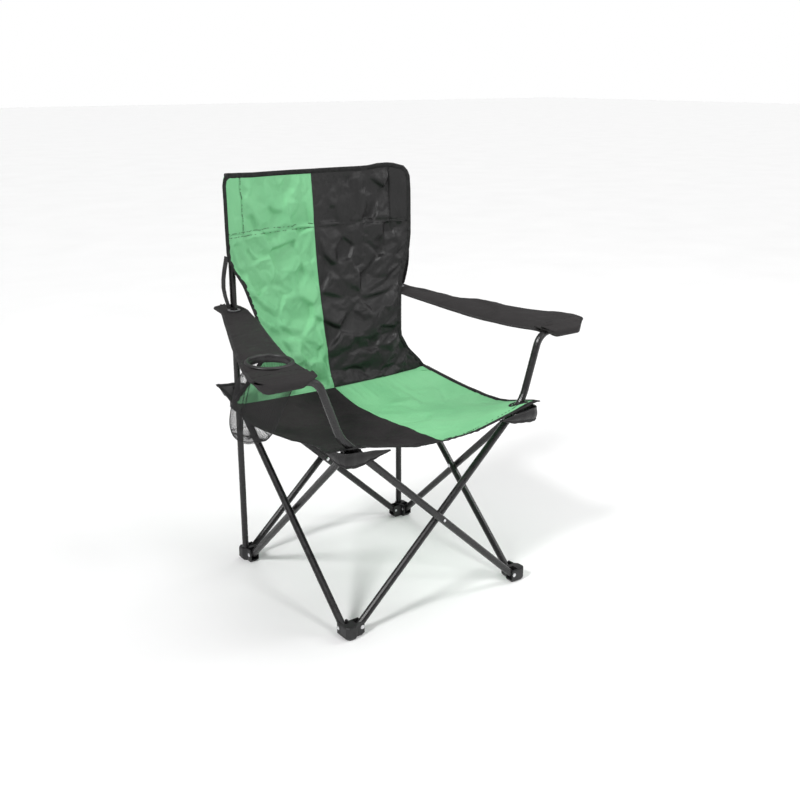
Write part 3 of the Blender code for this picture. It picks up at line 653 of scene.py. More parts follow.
def oval(wide, high, count):
    """An oval profile for sweep."""
    angles = np.linspace(0, 2 * math.pi, count, endpoint=False)
    return [(wide * math.cos(t), high * math.sin(t)) for t in angles]


def attach(body, pieces, **flatten):
    """Puts the pieces of (piece, slot) pairs on a body; the slots are not used. flatten says how they flatten
    as the chair folds; when it is given each piece gets its own mesh, but its values are not used.
    """
    for piece, slot in pieces:
        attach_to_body(piece, body)
        if flatten:
            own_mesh(piece)


def arm_flatten(side):
    """How an armrest and what hangs on it flatten towards their tube."""
    return {"axis": (0, 1, 0), "anchor": placed((0, ARM_TUBE_Y[side], ARM_TUBE_Z)), "keep": ARM_KEEP}


# ---------------------------------------------------------------- the back

BACK_SIDE = {             # height, half width, how far back the edge lies, by side
    -1: np.array([
        (0.3650, 0.236, 0.152), (0.383, 0.223, 0.154), (0.413, 0.193, 0.156), (0.443, 0.172, 0.152),
        (0.473, 0.166, 0.149), (0.503, 0.1675, 0.155), (0.533, 0.174, 0.163), (0.563, 0.1815, 0.171),
        (0.587, 0.1890, 0.176), (0.615, 0.2040, 0.180), (0.636, 0.2145, 0.182), (0.653, 0.2165, 0.1825),
        (0.743, 0.217, 0.183), (0.776, 0.2165, 0.185), (0.787, 0.213, 0.187), (0.7935, 0.204, 0.190)]),
    1: np.array([
        (0.3650, 0.236, 0.152), (0.383, 0.223, 0.154), (0.413, 0.193, 0.156), (0.443, 0.172, 0.152),
        (0.473, 0.167, 0.149), (0.503, 0.171, 0.155), (0.533, 0.179, 0.163), (0.563, 0.188, 0.171),
        (0.593, 0.200, 0.176), (0.623, 0.212, 0.179), (0.653, 0.217, 0.181), (0.743, 0.2175, 0.183),
        (0.770, 0.2170, 0.185), (0.781, 0.2130, 0.187), (0.7885, 0.2040, 0.190)])}
BACK_TOP = np.array([     # across, height of the top edge
    (-0.217, 0.7905), (-0.199, 0.7935), (-0.180, 0.7925), (-0.140, 0.7905), (0.0, 0.7890), (0.110, 0.7895),
    (0.130, 0.7905), (0.150, 0.7940), (0.170, 0.7950), (0.184, 0.7935), (0.199, 0.7890), (0.217, 0.7850)])
TOP_TAPE = 0.0085         # width of the tape over the back's top edge
BACK_LOW = 0.3465         # bottom of the back at the seam, just behind the seat's rear edge
BACK_MIDDLE = np.array([   # height, how far back the seam lies
    (0.346, 0.1525), (0.356, 0.1520), (0.428, 0.167), (0.549, 0.192), (0.619, 0.208), (0.689, 0.219),
    (0.785, 0.226)])
SLEEVE_X = 0.174          # stitch line beside a post
SLEEVE_LOW = 0.680        # double stitch line across the back
STITCH_ROWS = (SLEEVE_LOW + 0.002, SLEEVE_LOW - 0.0055)
CREASE_LIMIT = 0.0065     # how far a crease may stand off the sheet

HALF_COLUMNS = 90         # on each side of the seam
SLEEVE_COLUMN = 72        # the column of the stitch line beside a post, counted from the seam
BACK_ROWS = 189

BACK_FOLDS = [
    (-0.097, 0.726, -88, 0.050, 0.012, -0.0020), (-0.061, 0.717, -99, 0.045, 0.013, 0.0024),
    (-0.105, 0.653, 11, 0.048, 0.014, 0.0038), (-0.040, 0.641, -2, 0.042, 0.012, 0.0030),
    (-0.177, 0.651, -83, 0.034, 0.008, 0.0028), (-0.192, 0.645, -75, 0.030, 0.007, -0.0022),
    (-0.119, 0.498, 11, 0.045, 0.016, 0.0036), (-0.066, 0.484, -43, 0.040, 0.014, 0.0034),
    (-0.097, 0.477, -16, 0.060, 0.014, -0.0026), (-0.068, 0.461, -7, 0.070, 0.015, 0.0034),
    (-0.074, 0.436, -106, 0.028, 0.009, 0.0022), (-0.057, 0.428, -105, 0.030, 0.009, -0.0022),
    (-0.145, 0.549, -44, 0.045, 0.014, 0.0030), (-0.139, 0.562, -124, 0.040, 0.012, -0.0026),
    (-0.054, 0.574, -93, 0.050, 0.016, 0.0028), (-0.110, 0.600, 25, 0.050, 0.016, 0.0026),
    (0.088, 0.745, -26, 0.034, 0.012, 0.0034), (0.110, 0.722, -93, 0.058, 0.013, 0.0036),
    (0.126, 0.668, 9, 0.038, 0.010, 0.0034), (0.063, 0.657, 13, 0.050, 0.012, 0.0034),
    (0.111, 0.630, -97, 0.040, 0.011, -0.0030), (0.146, 0.655, 39, 0.026, 0.008, 0.0026),
    (0.063, 0.563, -62, 0.060, 0.016, 0.0036), (0.133, 0.587, -115, 0.046, 0.014, -0.0034),
    (0.087, 0.499, -34, 0.055, 0.015, 0.0034), (0.030, 0.600, -70, 0.045, 0.013, -0.0028),
    (0.045, 0.700, -85, 0.045, 0.012, -0.0026), (0.190, 0.640, -60, 0.030, 0.009, 0.0026)]


def back_grid():
    """The whole back from the sitter's right edge to the left, bottom to top."""
    t = np.linspace(0.0, 1.0, BACK_ROWS)
    halves = []
    for side in (-1, 1):
        edge = BACK_SIDE[side]
        side_z = edge[0, 0] + (edge[-1, 0] - edge[0, 0]) * t
        half = np.interp(side_z, edge[:, 0], edge[:, 1])
        side_y = np.interp(side_z, edge[:, 0], edge[:, 2])
        inner = np.minimum(SLEEVE_X, half * 0.82)
        k = np.arange(HALF_COLUMNS + 1)[:, None]
        outer_share = (k - SLEEVE_COLUMN) / (HALF_COLUMNS - SLEEVE_COLUMN)
        x = np.where(k <= SLEEVE_COLUMN, k / SLEEVE_COLUMN * inner, inner + outer_share * (half - inner))
        halves.append((side * x, np.tile(half, (len(k), 1)), np.tile(side_y, (len(k), 1))))
    x, half, side_y = (np.vstack([a[:0:-1], b]) for a, b in zip(*halves))
    s = x / half
    low = BACK_LOW + 0.0105 * np.abs(s) ** 2.2
    high = np.interp(x, BACK_TOP[:, 0], BACK_TOP[:, 1])
    z = low + (high - low) * t
    middle = np.interp(z, BACK_MIDDLE[:, 0], BACK_MIDDLE[:, 1])
    y = middle + (side_y - middle) * np.abs(s) ** 2.0
    sleeve = smoothstep(SLEEVE_LOW - 0.03, SLEEVE_LOW, z)
    y -= 0.0016 * sleeve * np.exp(-((np.abs(x) - 0.198) / 0.008) ** 2)
    y += 0.0012 * sleeve * np.exp(-((np.abs(x) - SLEEVE_X) / 0.004) ** 2)
    grid = Grid(np.stack([x, y, z], axis=-1))
    height = folds(x, z, BACK_FOLDS)
    height += folds(x, z, packing_creases(11, 110, (-0.21, 0.36), (0.21, 0.78), 0.040, 0.0020))
    height += crumple(x, z, 7, 110, (-0.23, 0.34), (0.23, 0.80), 0.24, 0.0030)
    height += crumple(x, z, 17, 420, (-0.23, 0.34), (0.23, 0.80), 0.06, 0.0020)
    height = CREASE_LIMIT * np.tanh(height / CREASE_LIMIT)
    edges = smoothstep(0.0, 0.06, t)[None, :] * (1.0 - smoothstep(0.93, 0.975, t))[None, :]
    flatten = np.minimum(edges, 0.08 + 0.92 * smoothstep(0.03, 0.11, 1.0 - np.abs(s)))
    at_sleeve = smoothstep(0.165, 0.178, np.abs(x)) * smoothstep(SLEEVE_LOW - 0.02, SLEEVE_LOW, z)
    at_stitches, at_seam = np.exp(-((z - SLEEVE_LOW) / 0.004) ** 2), np.exp(-(x / 0.005) ** 2)
    flatten = flatten * (1.0 - 0.75 * at_sleeve)
    flatten = flatten * (1.0 - 0.8 * at_stitches) * (1.0 - 0.75 * at_seam)
    grid.p += grid.normals() * (height * flatten)[..., None]
    pin = np.zeros(x.shape)
    pin[:, 0] = pin[:, -1] = pin[0] = pin[-1] = 1.0
    pin[:, -5:] = 1.0          # the rows under the top binding
    pin[(np.abs(x) > SLEEVE_X - 0.001) & (z > SLEEVE_LOW)] = 1.0
    pin[np.abs(z - SLEEVE_LOW) < 0.002] = np.maximum(pin[np.abs(z - SLEEVE_LOW) < 0.002], 0.25)
    simulate(grid, pin, 22, 0.014, 0.15, 0.012)
    return grid


def stitch_rows(grid, columns):
    """The double row of stitches across the given columns of the back."""
    z = grid.p[..., 2]
    lines = []
    for height in STITCH_ROWS:
        rows = [np.interp(height, z[int(round(c))], np.arange(BACK_ROWS)) for c in columns]
        lines.append(grid.at(columns, rows))
    return lines


def side_slice(side, start, end=None):
    """Columns of the back or front edge from start to end, counted outwards from the seam."""
    if side > 0:
        return slice(HALF_COLUMNS + start, None if end is None else HALF_COLUMNS + end)
    return slice(0 if end is None else HALF_COLUMNS - end + 1, HALF_COLUMNS - start + 1)


def build_back():
    grid = back_grid()
    middle = HALF_COLUMNS
    sleeve_row = int(np.argmin(np.abs(grid.p[middle + SLEEVE_COLUMN, :, 2] - SLEEVE_LOW)))
    for side in (-1, 1):
        name = side_name(side)
        body, post = f"rear_leg_{name}", f"back_post_{name}"
        colour = "black" if side > 0 else "green"
        half = half_faces(grid, middle, side)
        in_sleeve = np.zeros_like(half)
        outwards = slice(middle + SLEEVE_COLUMN, None) if side > 0 else slice(0, middle - SLEEVE_COLUMN)
        in_sleeve[outwards, sleeve_row:] = True
        panel = grid.solid(f"back_cloth_{name}", colour, half & ~in_sleeve)
        panel_cut = grid.cut()
        front = grid.solid(f"sleeve_{name}", colour, in_sleeve)
        front_cut = grid.cut()
        rear_grid, rear, top_tape = rear_sleeve(grid, side, sleeve_row, colour)
        rear_cut = rear_grid.cut()
        sleeve = join(f"sleeve_{name}", [front, rear])

        edge, top = outer_edge(grid, side), grid.edge("top")
        upper = binding(f"sleeve_binding_{name}", [a[sleeve_row - 9:] for a in edge])
        lower = binding(f"back_binding_{name}", [a[:sleeve_row - 8] for a in edge])
        inner, corner = side_slice(side, 0, SLEEVE_COLUMN + 1), side_slice(side, SLEEVE_COLUMN - 1)
        lower = join(f"back_binding_{name}", [lower, binding("hem", [a[inner] for a in top], width=TOP_TAPE)])
        upper = join(f"sleeve_binding_{name}",
                     [upper, binding("cap", [a[corner] for a in top], width=TOP_TAPE), top_tape])

        rows = np.arange(sleeve_row, BACK_ROWS - 3)
        across = np.linspace(middle + side * 0.5, middle + side * (SLEEVE_COLUMN - 0.5), 80)
        beside_post = grid.at(np.full(len(rows), middle + side * (SLEEVE_COLUMN - 0.6)), rows)
        thread = stitches(f"back_thread_{name}", [*stitch_rows(grid, across), beside_post], 0.0011)
        ends = np.linspace(middle + side * (SLEEVE_COLUMN + 0.3), middle + side * (middle - 1.5), 20)
        end_thread = stitches(f"sleeve_thread_{name}", stitch_rows(grid, ends), 0.0007)

        attach(body, ((panel, f"{colour}_fabric"), (lower, "black_fabric"), (thread, "black_fabric")),
               axis=(1, 0, 0), anchor=placed((side * SLEEVE_X, CORNER, 0.5)), keep=0.125)
        attach(body, ((sleeve, f"{colour}_fabric"), (upper, "black_fabric"), (end_thread, "black_fabric")))
        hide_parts(f"back_panel_{name}")


def rear_sleeve(grid, side, sleeve_row, look):
    """The layer that passes behind a post, closed over its top."""
    column = 2 * HALF_COLUMNS if side > 0 else 0
    inner = HALF_COLUMNS + side * SLEEVE_COLUMN
    start = sleeve_row - 3
    outer_points, inner_points = grid.p[column, start:], grid.p[inner, start:]
    z = outer_points[:, 2]
    count = 16
    rows = []
    for o, i, height in zip(outer_points, inner_points, z):
        narrow = abs(o[0]) - CORNER
        points = [o, (side * (CORNER + narrow * 0.68), o[1] + 0.006, height),
                  (side * (CORNER + narrow * 0.50), 0.2025, height),
                  (side * (CORNER + 0.002), 0.2085, height), (side * (CORNER - 0.009), 0.2065, height),
                  (side * (CORNER - 0.018), 0.2010, height), i + np.array([0.0, 0.0012, 0.0])]
        line = resample(points, count)
        steps = np.arange(count)
        round_off = 0.0075 * np.clip(1.0 - (steps - 1) / 6.0, 0.0, 1.0) ** 2 * (steps > 0)
        line[:, 2] -= round_off * smoothstep(z[-1] - 0.016, z[-1], height)
        rows.append(line)
    points = np.stack(rows, axis=1)
    front_top = grid.p[min(column, inner):max(column, inner) + 1, -1]
    front_top = front_top[::-1] if side > 0 else front_top
    front_top = resample(front_top, count)
    closing = []
    last = points[:, -1]
    for share, lift in ((0.35, -0.0008), (0.7, -0.0008), (1.0, 0.0)):
        line = last * (1 - share) + front_top * share
        line[:, 2] += lift * np.sin(np.linspace(0.0, math.pi, count))
        closing.append(line)
    closing = np.stack([points[:, -2], last, *closing], axis=1)
    if side > 0:
        points, closing = points[::-1], closing[::-1]
    made = Grid(points[::-1])
    cap = Grid(closing[::-1]).solid("sleeve_top", "tape", thickness=0.0016)
    return made, made.solid("rear_sleeve", look), cap


# ---------------------------------------------------------------- the seat

SEAT_SIDE = np.array([   # how far back, half width, height of the seat's side edge
    (-0.203, 0.2425, 0.3662), (-0.185, 0.2428, 0.3640), (-0.165, 0.2350, 0.3605), (-0.135, 0.2240, 0.3545),
    (-0.110, 0.2225, 0.3510), (-0.060, 0.2310, 0.3460), (0.010, 0.2405, 0.3440), (0.060, 0.2450, 0.3460),
    (0.100, 0.2450, 0.3500), (0.151, 0.2420, 0.3575)])
SEAT_MIDDLE = np.array([   # how far back, height of the seam
    (-0.222, 0.3444), (-0.160, 0.3420), (-0.075, 0.3395), (0.008, 0.3365), (0.096, 0.3400), (0.151, 0.3510)])
SEAT_FRONT = np.array([    # across, height of the front edge
    (0.0, 0.3444), (0.0738, 0.3472), (0.1226, 0.3548), (0.1525, 0.3606), (0.185, 0.3660), (0.205, 0.3672),
    (0.252, 0.3635)])
SEAT_COLUMNS = 64         # on each side of the seam
SEAT_ROWS = 97
EYELET = {-1: (-0.2006, -0.2065), 1: (0.2006, -0.1915)}    # where the arm tubes pass the seat, by side
EYELET_SHIFT = 0.004      # how far inwards the slot's middle lies from there

SEAT_FOLDS = [
    (-0.060, 0.060, 8, 0.070, 0.012, 0.0018), (-0.090, 0.020, -6, 0.080, 0.014, -0.0016),
    (-0.050, -0.030, 4, 0.070, 0.012, 0.0014), (-0.120, -0.060, 12, 0.060, 0.012, 0.0014),
    (-0.180, -0.150, 55, 0.050, 0.010, 0.0020), (-0.165, -0.165, 40, 0.050, 0.009, -0.0016),
    (0.120, 0.120, 35, 0.060, 0.014, 0.0014), (0.180, -0.140, -50, 0.060, 0.012, 0.0016),
    (0.080, -0.190, 5, 0.060, 0.010, 0.0012)]


def seat_grid():
    """The whole seat from the sitter's right edge to the left, front to rear."""
    v = np.linspace(0.0, 1.0, SEAT_ROWS)
    u = np.linspace(-1.0, 1.0, 2 * SEAT_COLUMNS + 1)
    a = np.abs(u)[:, None]
    side_y = SEAT_SIDE[0, 0] + (SEAT_SIDE[-1, 0] - SEAT_SIDE[0, 0]) * v
    half = np.interp(side_y, SEAT_SIDE[:, 0], SEAT_SIDE[:, 1])
    side_z = np.interp(side_y, SEAT_SIDE[:, 0], SEAT_SIDE[:, 2])
    x = u[:, None] * half
    front_y = -0.2225 + 0.0195 * smoothstep(0.74, 1.0, a) - 0.0008 * np.sin(a * 9.0)
    y = front_y + (0.151 - front_y) * v
    middle_z = np.interp(y, SEAT_MIDDLE[:, 0], SEAT_MIDDLE[:, 1])
    front_low, front_high = SEAT_FRONT[0, 1], SEAT_FRONT[-1, 1]
    front_z = np.interp(a * SEAT_FRONT[-1, 0], SEAT_FRONT[:, 0], SEAT_FRONT[:, 1])
    front_share = (front_z - front_low) / (front_high - front_low)
    share = front_share + (a ** 2.3 - front_share) * smoothstep(0.0, 0.4, v)
    share = share + (a ** 1.8 - share) * smoothstep(0.75, 1.0, v)
    z = middle_z + (side_z - middle_z) * share
    grid = Grid(np.stack(np.broadcast_arrays(x, y, z), axis=-1))
    height = folds(x, y, SEAT_FOLDS)
    height += folds(x, y, packing_creases(5, 60, (-0.23, -0.20), (0.23, 0.14), 0.040, 0.0008))
    height += crumple(x, y, 29, 70, (-0.25, -0.22), (0.25, 0.16), 0.060, 0.0050)
    flatten = np.minimum(1.0, (1.0 - a) / 0.05 + 0.1) * smoothstep(0.0, 0.05, v)
    flatten = flatten * (1.0 - smoothstep(0.9, 1.0, v))
    grid.p += grid.normals() * (height * flatten)[..., None]
    pin = np.zeros(x.shape)
    pin[:, 0] = 0.6
    pin[:, -1] = pin[0] = pin[-1] = 1.0
    for eyelet_x, eyelet_y in EYELET.values():
        pin[np.hypot(grid.p[..., 0] - eyelet_x, grid.p[..., 1] - eyelet_y) < 0.034] = 1.0
    simulate(grid, pin, 20, 0.004, 0.5, 0.008)
    return grid


def build_seat():
    grid = seat_grid()
    middle = SEAT_COLUMNS
    centre = (grid.p[:-1, :-1] + grid.p[1:, :-1] + grid.p[1:, 1:] + grid.p[:-1, 1:]) / 4.0
    for side in (-1, 1):
        name = side_name(side)
        colour = "green" if side > 0 else "black"
        ex, ey = EYELET[side]
        across, along = (centre[..., 0] - ex + EYELET_SHIFT * side) / 0.0165, (centre[..., 1] - ey) / 0.0095
        hole = across ** 2 + along ** 2 < 1.0
        # The black half of the seat has painted light: a lighter copy of the back's black cloth.
        panel = grid.solid(f"seat_cloth_{name}", "green" if side > 0 else "black_seat_painted_light",
                           half_faces(grid, middle, side) & ~hole)

        half = slice(middle, None) if side > 0 else slice(0, middle + 1)
        hem = [a[half] for a in grid.edge("bottom")]
        tape = join(f"seat_binding_{name}",
                    [binding("side_tape", outer_edge(grid, side)), binding("front_tape", hem, width=0.0095)])

        rows = np.linspace(3, SEAT_ROWS - 2, 90)
        columns = np.linspace(middle + side * 1.0, middle + side * (middle - 3.0), 90)
        lines = [grid.at(np.full(90, middle + side * (middle - 1.4)), rows)]
        lines += [grid.at(columns, np.full(90, row)) for row in (1.9, 4.4)]
        thread = stitches(f"seat_thread_{name}", lines, 0.0011)
        ring = eyelet_ring(grid, side)
        attach(f"seat_{name}",
               ((panel, f"{colour}_fabric"), (tape, "black_fabric"), (thread, "black_fabric")),
               axis=(0, 1, 0), anchor=placed((0, -CORNER, SEAT_TOP)), keep=0.21)
        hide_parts(f"seat_panel_{name}")
        declare(grid)
        attach(f"bracket_{name}", [(ring, "black_fabric")])
        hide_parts(f"seat_grommet_{name}")


def eyelet_ring(grid, side):
    """Cloth-covered rim round the slot for an arm tube."""
    ex, ey = EYELET[side]
    angle = np.linspace(0.0, 2.0 * math.pi, 48, endpoint=False)
    x = ex - EYELET_SHIFT * side + 0.0185 * np.cos(angle) * side
    y = ey + 0.0112 * np.sin(angle) * side
    z = np.array([height_at(grid, a, b) for a, b in zip(x, y)])
    centre = np.stack([x, y, z + 0.0004], axis=1)
    tangent = unit(np.roll(centre, -1, axis=0) - np.roll(centre, 1, axis=0))
    up = np.tile(UP, (48, 1))
    out = unit(np.cross(tangent, up))
    profile = oval(0.0034, 0.0011, 12)
    return sweep(f"tube_eyelet_{side_name(side)}", centre, out, up, profile, "tape", closed=True)


def height_at(grid, x, y):
    """Height of the seat near a plan point, from its four nearest points."""
    flat = grid.p.reshape(-1, 3)
    distance = (flat[:, 0] - x) ** 2 + (flat[:, 1] - y) ** 2
    near = np.argsort(distance)[:4]
    weight = 1.0 / (distance[near] + 1e-8)
    return float((flat[near, 2] * weight).sum() / weight.sum())


# ---------------------------------------------------------------- corner pockets


def hanging_cloth(side, path, count, rows, top, low, push):
    """Cloth that hangs from a line in plan; push(share, t) is how far it stands out, at t from low to top."""
    plan = resample(path, count)
    share = np.linspace(0.0, 1.0, count)
    low, top = low(share), np.interp(share, *top)
    out = unit(np.stack([np.gradient(plan[:, 1]), -np.gradient(plan[:, 0])], axis=1))
    points = np.zeros((count, rows, 3))
    for j in range(rows):
        t = j / (rows - 1)
        points[:, j, :2] = plan + out * push(share, t)[:, None]
        points[:, j, 2] = low + (top - low) * t
    return Grid(mirrored(points, side))


def front_pocket(side):
    """Gathered cloth that hangs from the seat's corner round a bracket."""
    path = [(0.128, -0.2190), (0.150, -0.2225), (0.185, -0.2240), (0.208, -0.2235), (0.2200, -0.2185),
            (0.2245, -0.2060), (0.2250, -0.1850), (0.2235, -0.1600), (0.2205, -0.1420)]
    top = ([0, 0.2, 0.45, 0.6, 0.8, 1.0], [0.3530, 0.3600, 0.3645, 0.3640, 0.3610, 0.3560])

    def low(share):
        line = np.interp(share, [0, 0.15, 0.45, 0.6, 0.8, 1.0],
                         [0.3515, 0.3440, 0.3355, 0.3370, 0.3420, 0.3535])
        return line + 0.0004 * np.sin(share * 55.0) + 0.0008 * np.sin(share * 17.0 + side)

    def push(share, t):
        bulge = 0.0022 * math.sin(math.pi * min(t * 1.2, 1.0)) - 0.0040 * (1 - t) ** 2
        gather = 0.0007 * np.sin(share * 38.0 + 2.0 * t) * (1.0 - 0.5 * t) * np.sin(math.pi * share)
        return bulge + gather

    name = side_name(side)
    grid = hanging_cloth(side, path, 90, 16, top, low, push)
    cloth = grid.solid(f"bracket_pocket_{name}", "black")
    hem = binding(f"bracket_pocket_hem_{name}", grid.edge("bottom"), width=0.006)
    attach(f"bracket_{name}", ((cloth, "black_fabric"), (hem, "black_fabric")))
    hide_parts(f"corner_pocket_front_{name}")
    declare(grid)


def rear_ear(side):
    """The seat's rear corner: a flap round the post above a collar, turned up at its tip."""
    name = side_name(side)
    colour = "green" if side > 0 else "black"
    inner_front, outer_front = np.array((0.172, 0.1600, 0.3530)), np.array((0.2415, 0.1300, 0.3535))
    inner_rear, outer_rear = np.array((0.1720, 0.2265, 0.3745)), np.array((0.2340, 0.2230, 0.3815))
    n = 46
    points = np.zeros((n, n, 3))
    for i, s in enumerate(np.linspace(0.0, 1.0, n)):
        for j, t in enumerate(np.linspace(0.0, 1.0, n)):
            front, rear = inner_front * (1 - s) + outer_front * s, inner_rear * (1 - s) + outer_rear * s
            p = front * (1 - t) + rear * t
            p = p + np.array([-0.006 * math.sin(math.pi * t) * s, -0.004 * math.sin(math.pi * s) * t, 0.0])
            sag = 0.0050 * math.sin(math.pi * s) * math.sin(math.pi * t)
            from_post = math.hypot(p[0] - CORNER, p[1] - CORNER)
            p[2] += -sag * 0.3 + 0.0035 * math.exp(-(from_post / 0.016) ** 2)
            points[i, j] = p
    creases = packing_creases(31, 14, (0.16, 0.14), (0.24, 0.23), 0.03, 0.0014)
    points[..., 2] += folds(points[..., 0], points[..., 1], creases)
    grid = Grid(mirrored(points, side))
    centre = (grid.p[:-1, :-1] + grid.p[1:, 1:]) / 2.0
    hole = np.hypot(centre[..., 0] - side * CORNER, centre[..., 1] - CORNER) < 0.0098
    cloth = grid.solid(f"seat_ear_{name}", colour, ~hole)
    tape = join(f"seat_ear_binding_{name}",
                [binding("ear_side", outer_edge(grid, side)), binding("ear_rear", grid.edge("top"))])
    skirt_grid = ear_skirt(side)
    skirt = skirt_grid.solid(f"collar_pocket_{name}", "black")
    attach(f"collar_{name}", ((cloth, f"{colour}_fabric"), (tape, "black_fabric"), (skirt, "black_fabric")))
    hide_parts(f"corner_pocket_rear_{name}")
    declare(grid)
    declare(skirt_grid)


def ear_skirt(side):
    """Cloth that hangs from a rear ear outside its collar."""
    path = [(0.2395, 0.1330), (0.2340, 0.1560), (0.2308, 0.1800), (0.2310, 0.2040), (0.2300, 0.2190),
            (0.2200, 0.2228), (0.2050, 0.2215), (0.1780, 0.2245)]
    top = ([0, 0.3, 0.55, 0.62, 0.75, 1.0], [0.3535, 0.3630, 0.3770, 0.3790, 0.3770, 0.3735])

    def low(share):
        return np.interp(share, [0, 0.3, 0.6, 0.75, 1.0], [0.3500, 0.3490, 0.3600, 0.3600, 0.3620])

    def push(share, t):
        return -0.0120 * (1 - t) ** 1.5 + 0.0008 * np.sin(share * 60.0 + t)

    return hanging_cloth(side, path, 70, 12, top, low, push)


# ---------------------------------------------------------------- armrests

ARM_OUTLINE = {           # distance back, inner edge, outer edge, by side
    -1: np.array([
        (0.247, 0.196, 0.204), (0.243, 0.181, 0.218), (0.232, 0.1735, 0.2255), (0.195, 0.172, 0.228),
        (0.125, 0.186, 0.256), (0.060, 0.206, 0.2830), (0.000, 0.224, 0.3080), (-0.045, 0.238, 0.3250),
        (-0.090, 0.2485, 0.343), (-0.125, 0.2560, 0.356), (-0.165, 0.2620, 0.369), (-0.190, 0.2640, 0.3715),
        (-0.205, 0.2640, 0.3690), (-0.217, 0.2660, 0.3620)]),
    1: np.array([
        (0.247, 0.196, 0.204), (0.243, 0.181, 0.216), (0.232, 0.1735, 0.2225), (0.195, 0.171, 0.226),
        (0.125, 0.186, 0.256), (0.060, 0.204, 0.2800), (0.000, 0.219, 0.3060), (-0.048, 0.232, 0.3270),
        (-0.083, 0.240, 0.3450), (-0.125, 0.2480, 0.3680), (-0.150, 0.2500, 0.3790), (-0.168, 0.2500, 0.3820),
        (-0.184, 0.2500, 0.3760), (-0.200, 0.2500, 0.3580), (-0.217, 0.2540, 0.3360)])}
ARM_ROUND = {-1: (0.85, 0.014), 1: (0.80, 0.010)}    # where the front's outer corner starts, how deep it is
ARM_DROOP = {-1: 0.0020, 1: 0.0125}                  # how far the inner edge hangs at its lowest
ARM_FRONT = -0.2170        # front end of the outline
ARM_TAPE = 0.0052         # width of the binding tape of an armrest
CUP = np.array((-0.3005, -0.1160))    # middle of the cup holder
CUP_HOLE_R = 0.0365
CUP_RIM = [               # profile of the rim: out from the middle, up
    (0.0345, -0.0095), (0.0345, 0.0010), (0.0351, 0.0027), (0.0366, 0.0038),
    (0.0386, 0.0040), (0.0405, 0.0031), (0.0417, 0.0014), (0.0419, 0.0000),
    (0.0405, -0.0006), (0.0372, -0.0008), (0.0360, -0.0016), (0.0357, -0.0095)]


def arm_height(y):
    """Height of an armrest's top: hung between its tube and its post."""
    t = np.clip((y + 0.2175) / 0.4165, 0.0, 1.0)
    return 0.5112 + 0.0492 * (y + 0.2175) - 0.0184 * t * (1.0 - t)


ARM_TOP_ROWS = 84         # rows of an armrest's top; the others form the sleeve round its tube
SLEEVE_Z = 0.5085         # height at which that sleeve leaves the top


def arm_section():
    """Side view of an armrest: forward along its top, round the arm tube, back to the sleeve's seam."""
    y_top = np.linspace(0.247, -0.196, ARM_TOP_ROWS)
    top = [(y, float(arm_height(y))) for y in y_top]
    nose = [(-0.2040, 0.5103), (-0.2110, 0.5088), (-0.2160, 0.5062), (-0.2182, 0.5020), (-0.2178, 0.4975),
            (-0.2140, 0.4930), (-0.2080, 0.4912), (-0.2000, 0.4915), (-0.1920, 0.4935), (-0.1850, 0.4975),
            (-0.1790, 0.5030), (-0.1740, 0.5075)]
    nose = resample([top[-1]] + nose, 40)[1:]
    return np.vstack([top, nose])


POCKET = {-1: (0.272, 0.298), 1: (0.250, 0.276)}   # where the sleeve for the tube starts, across


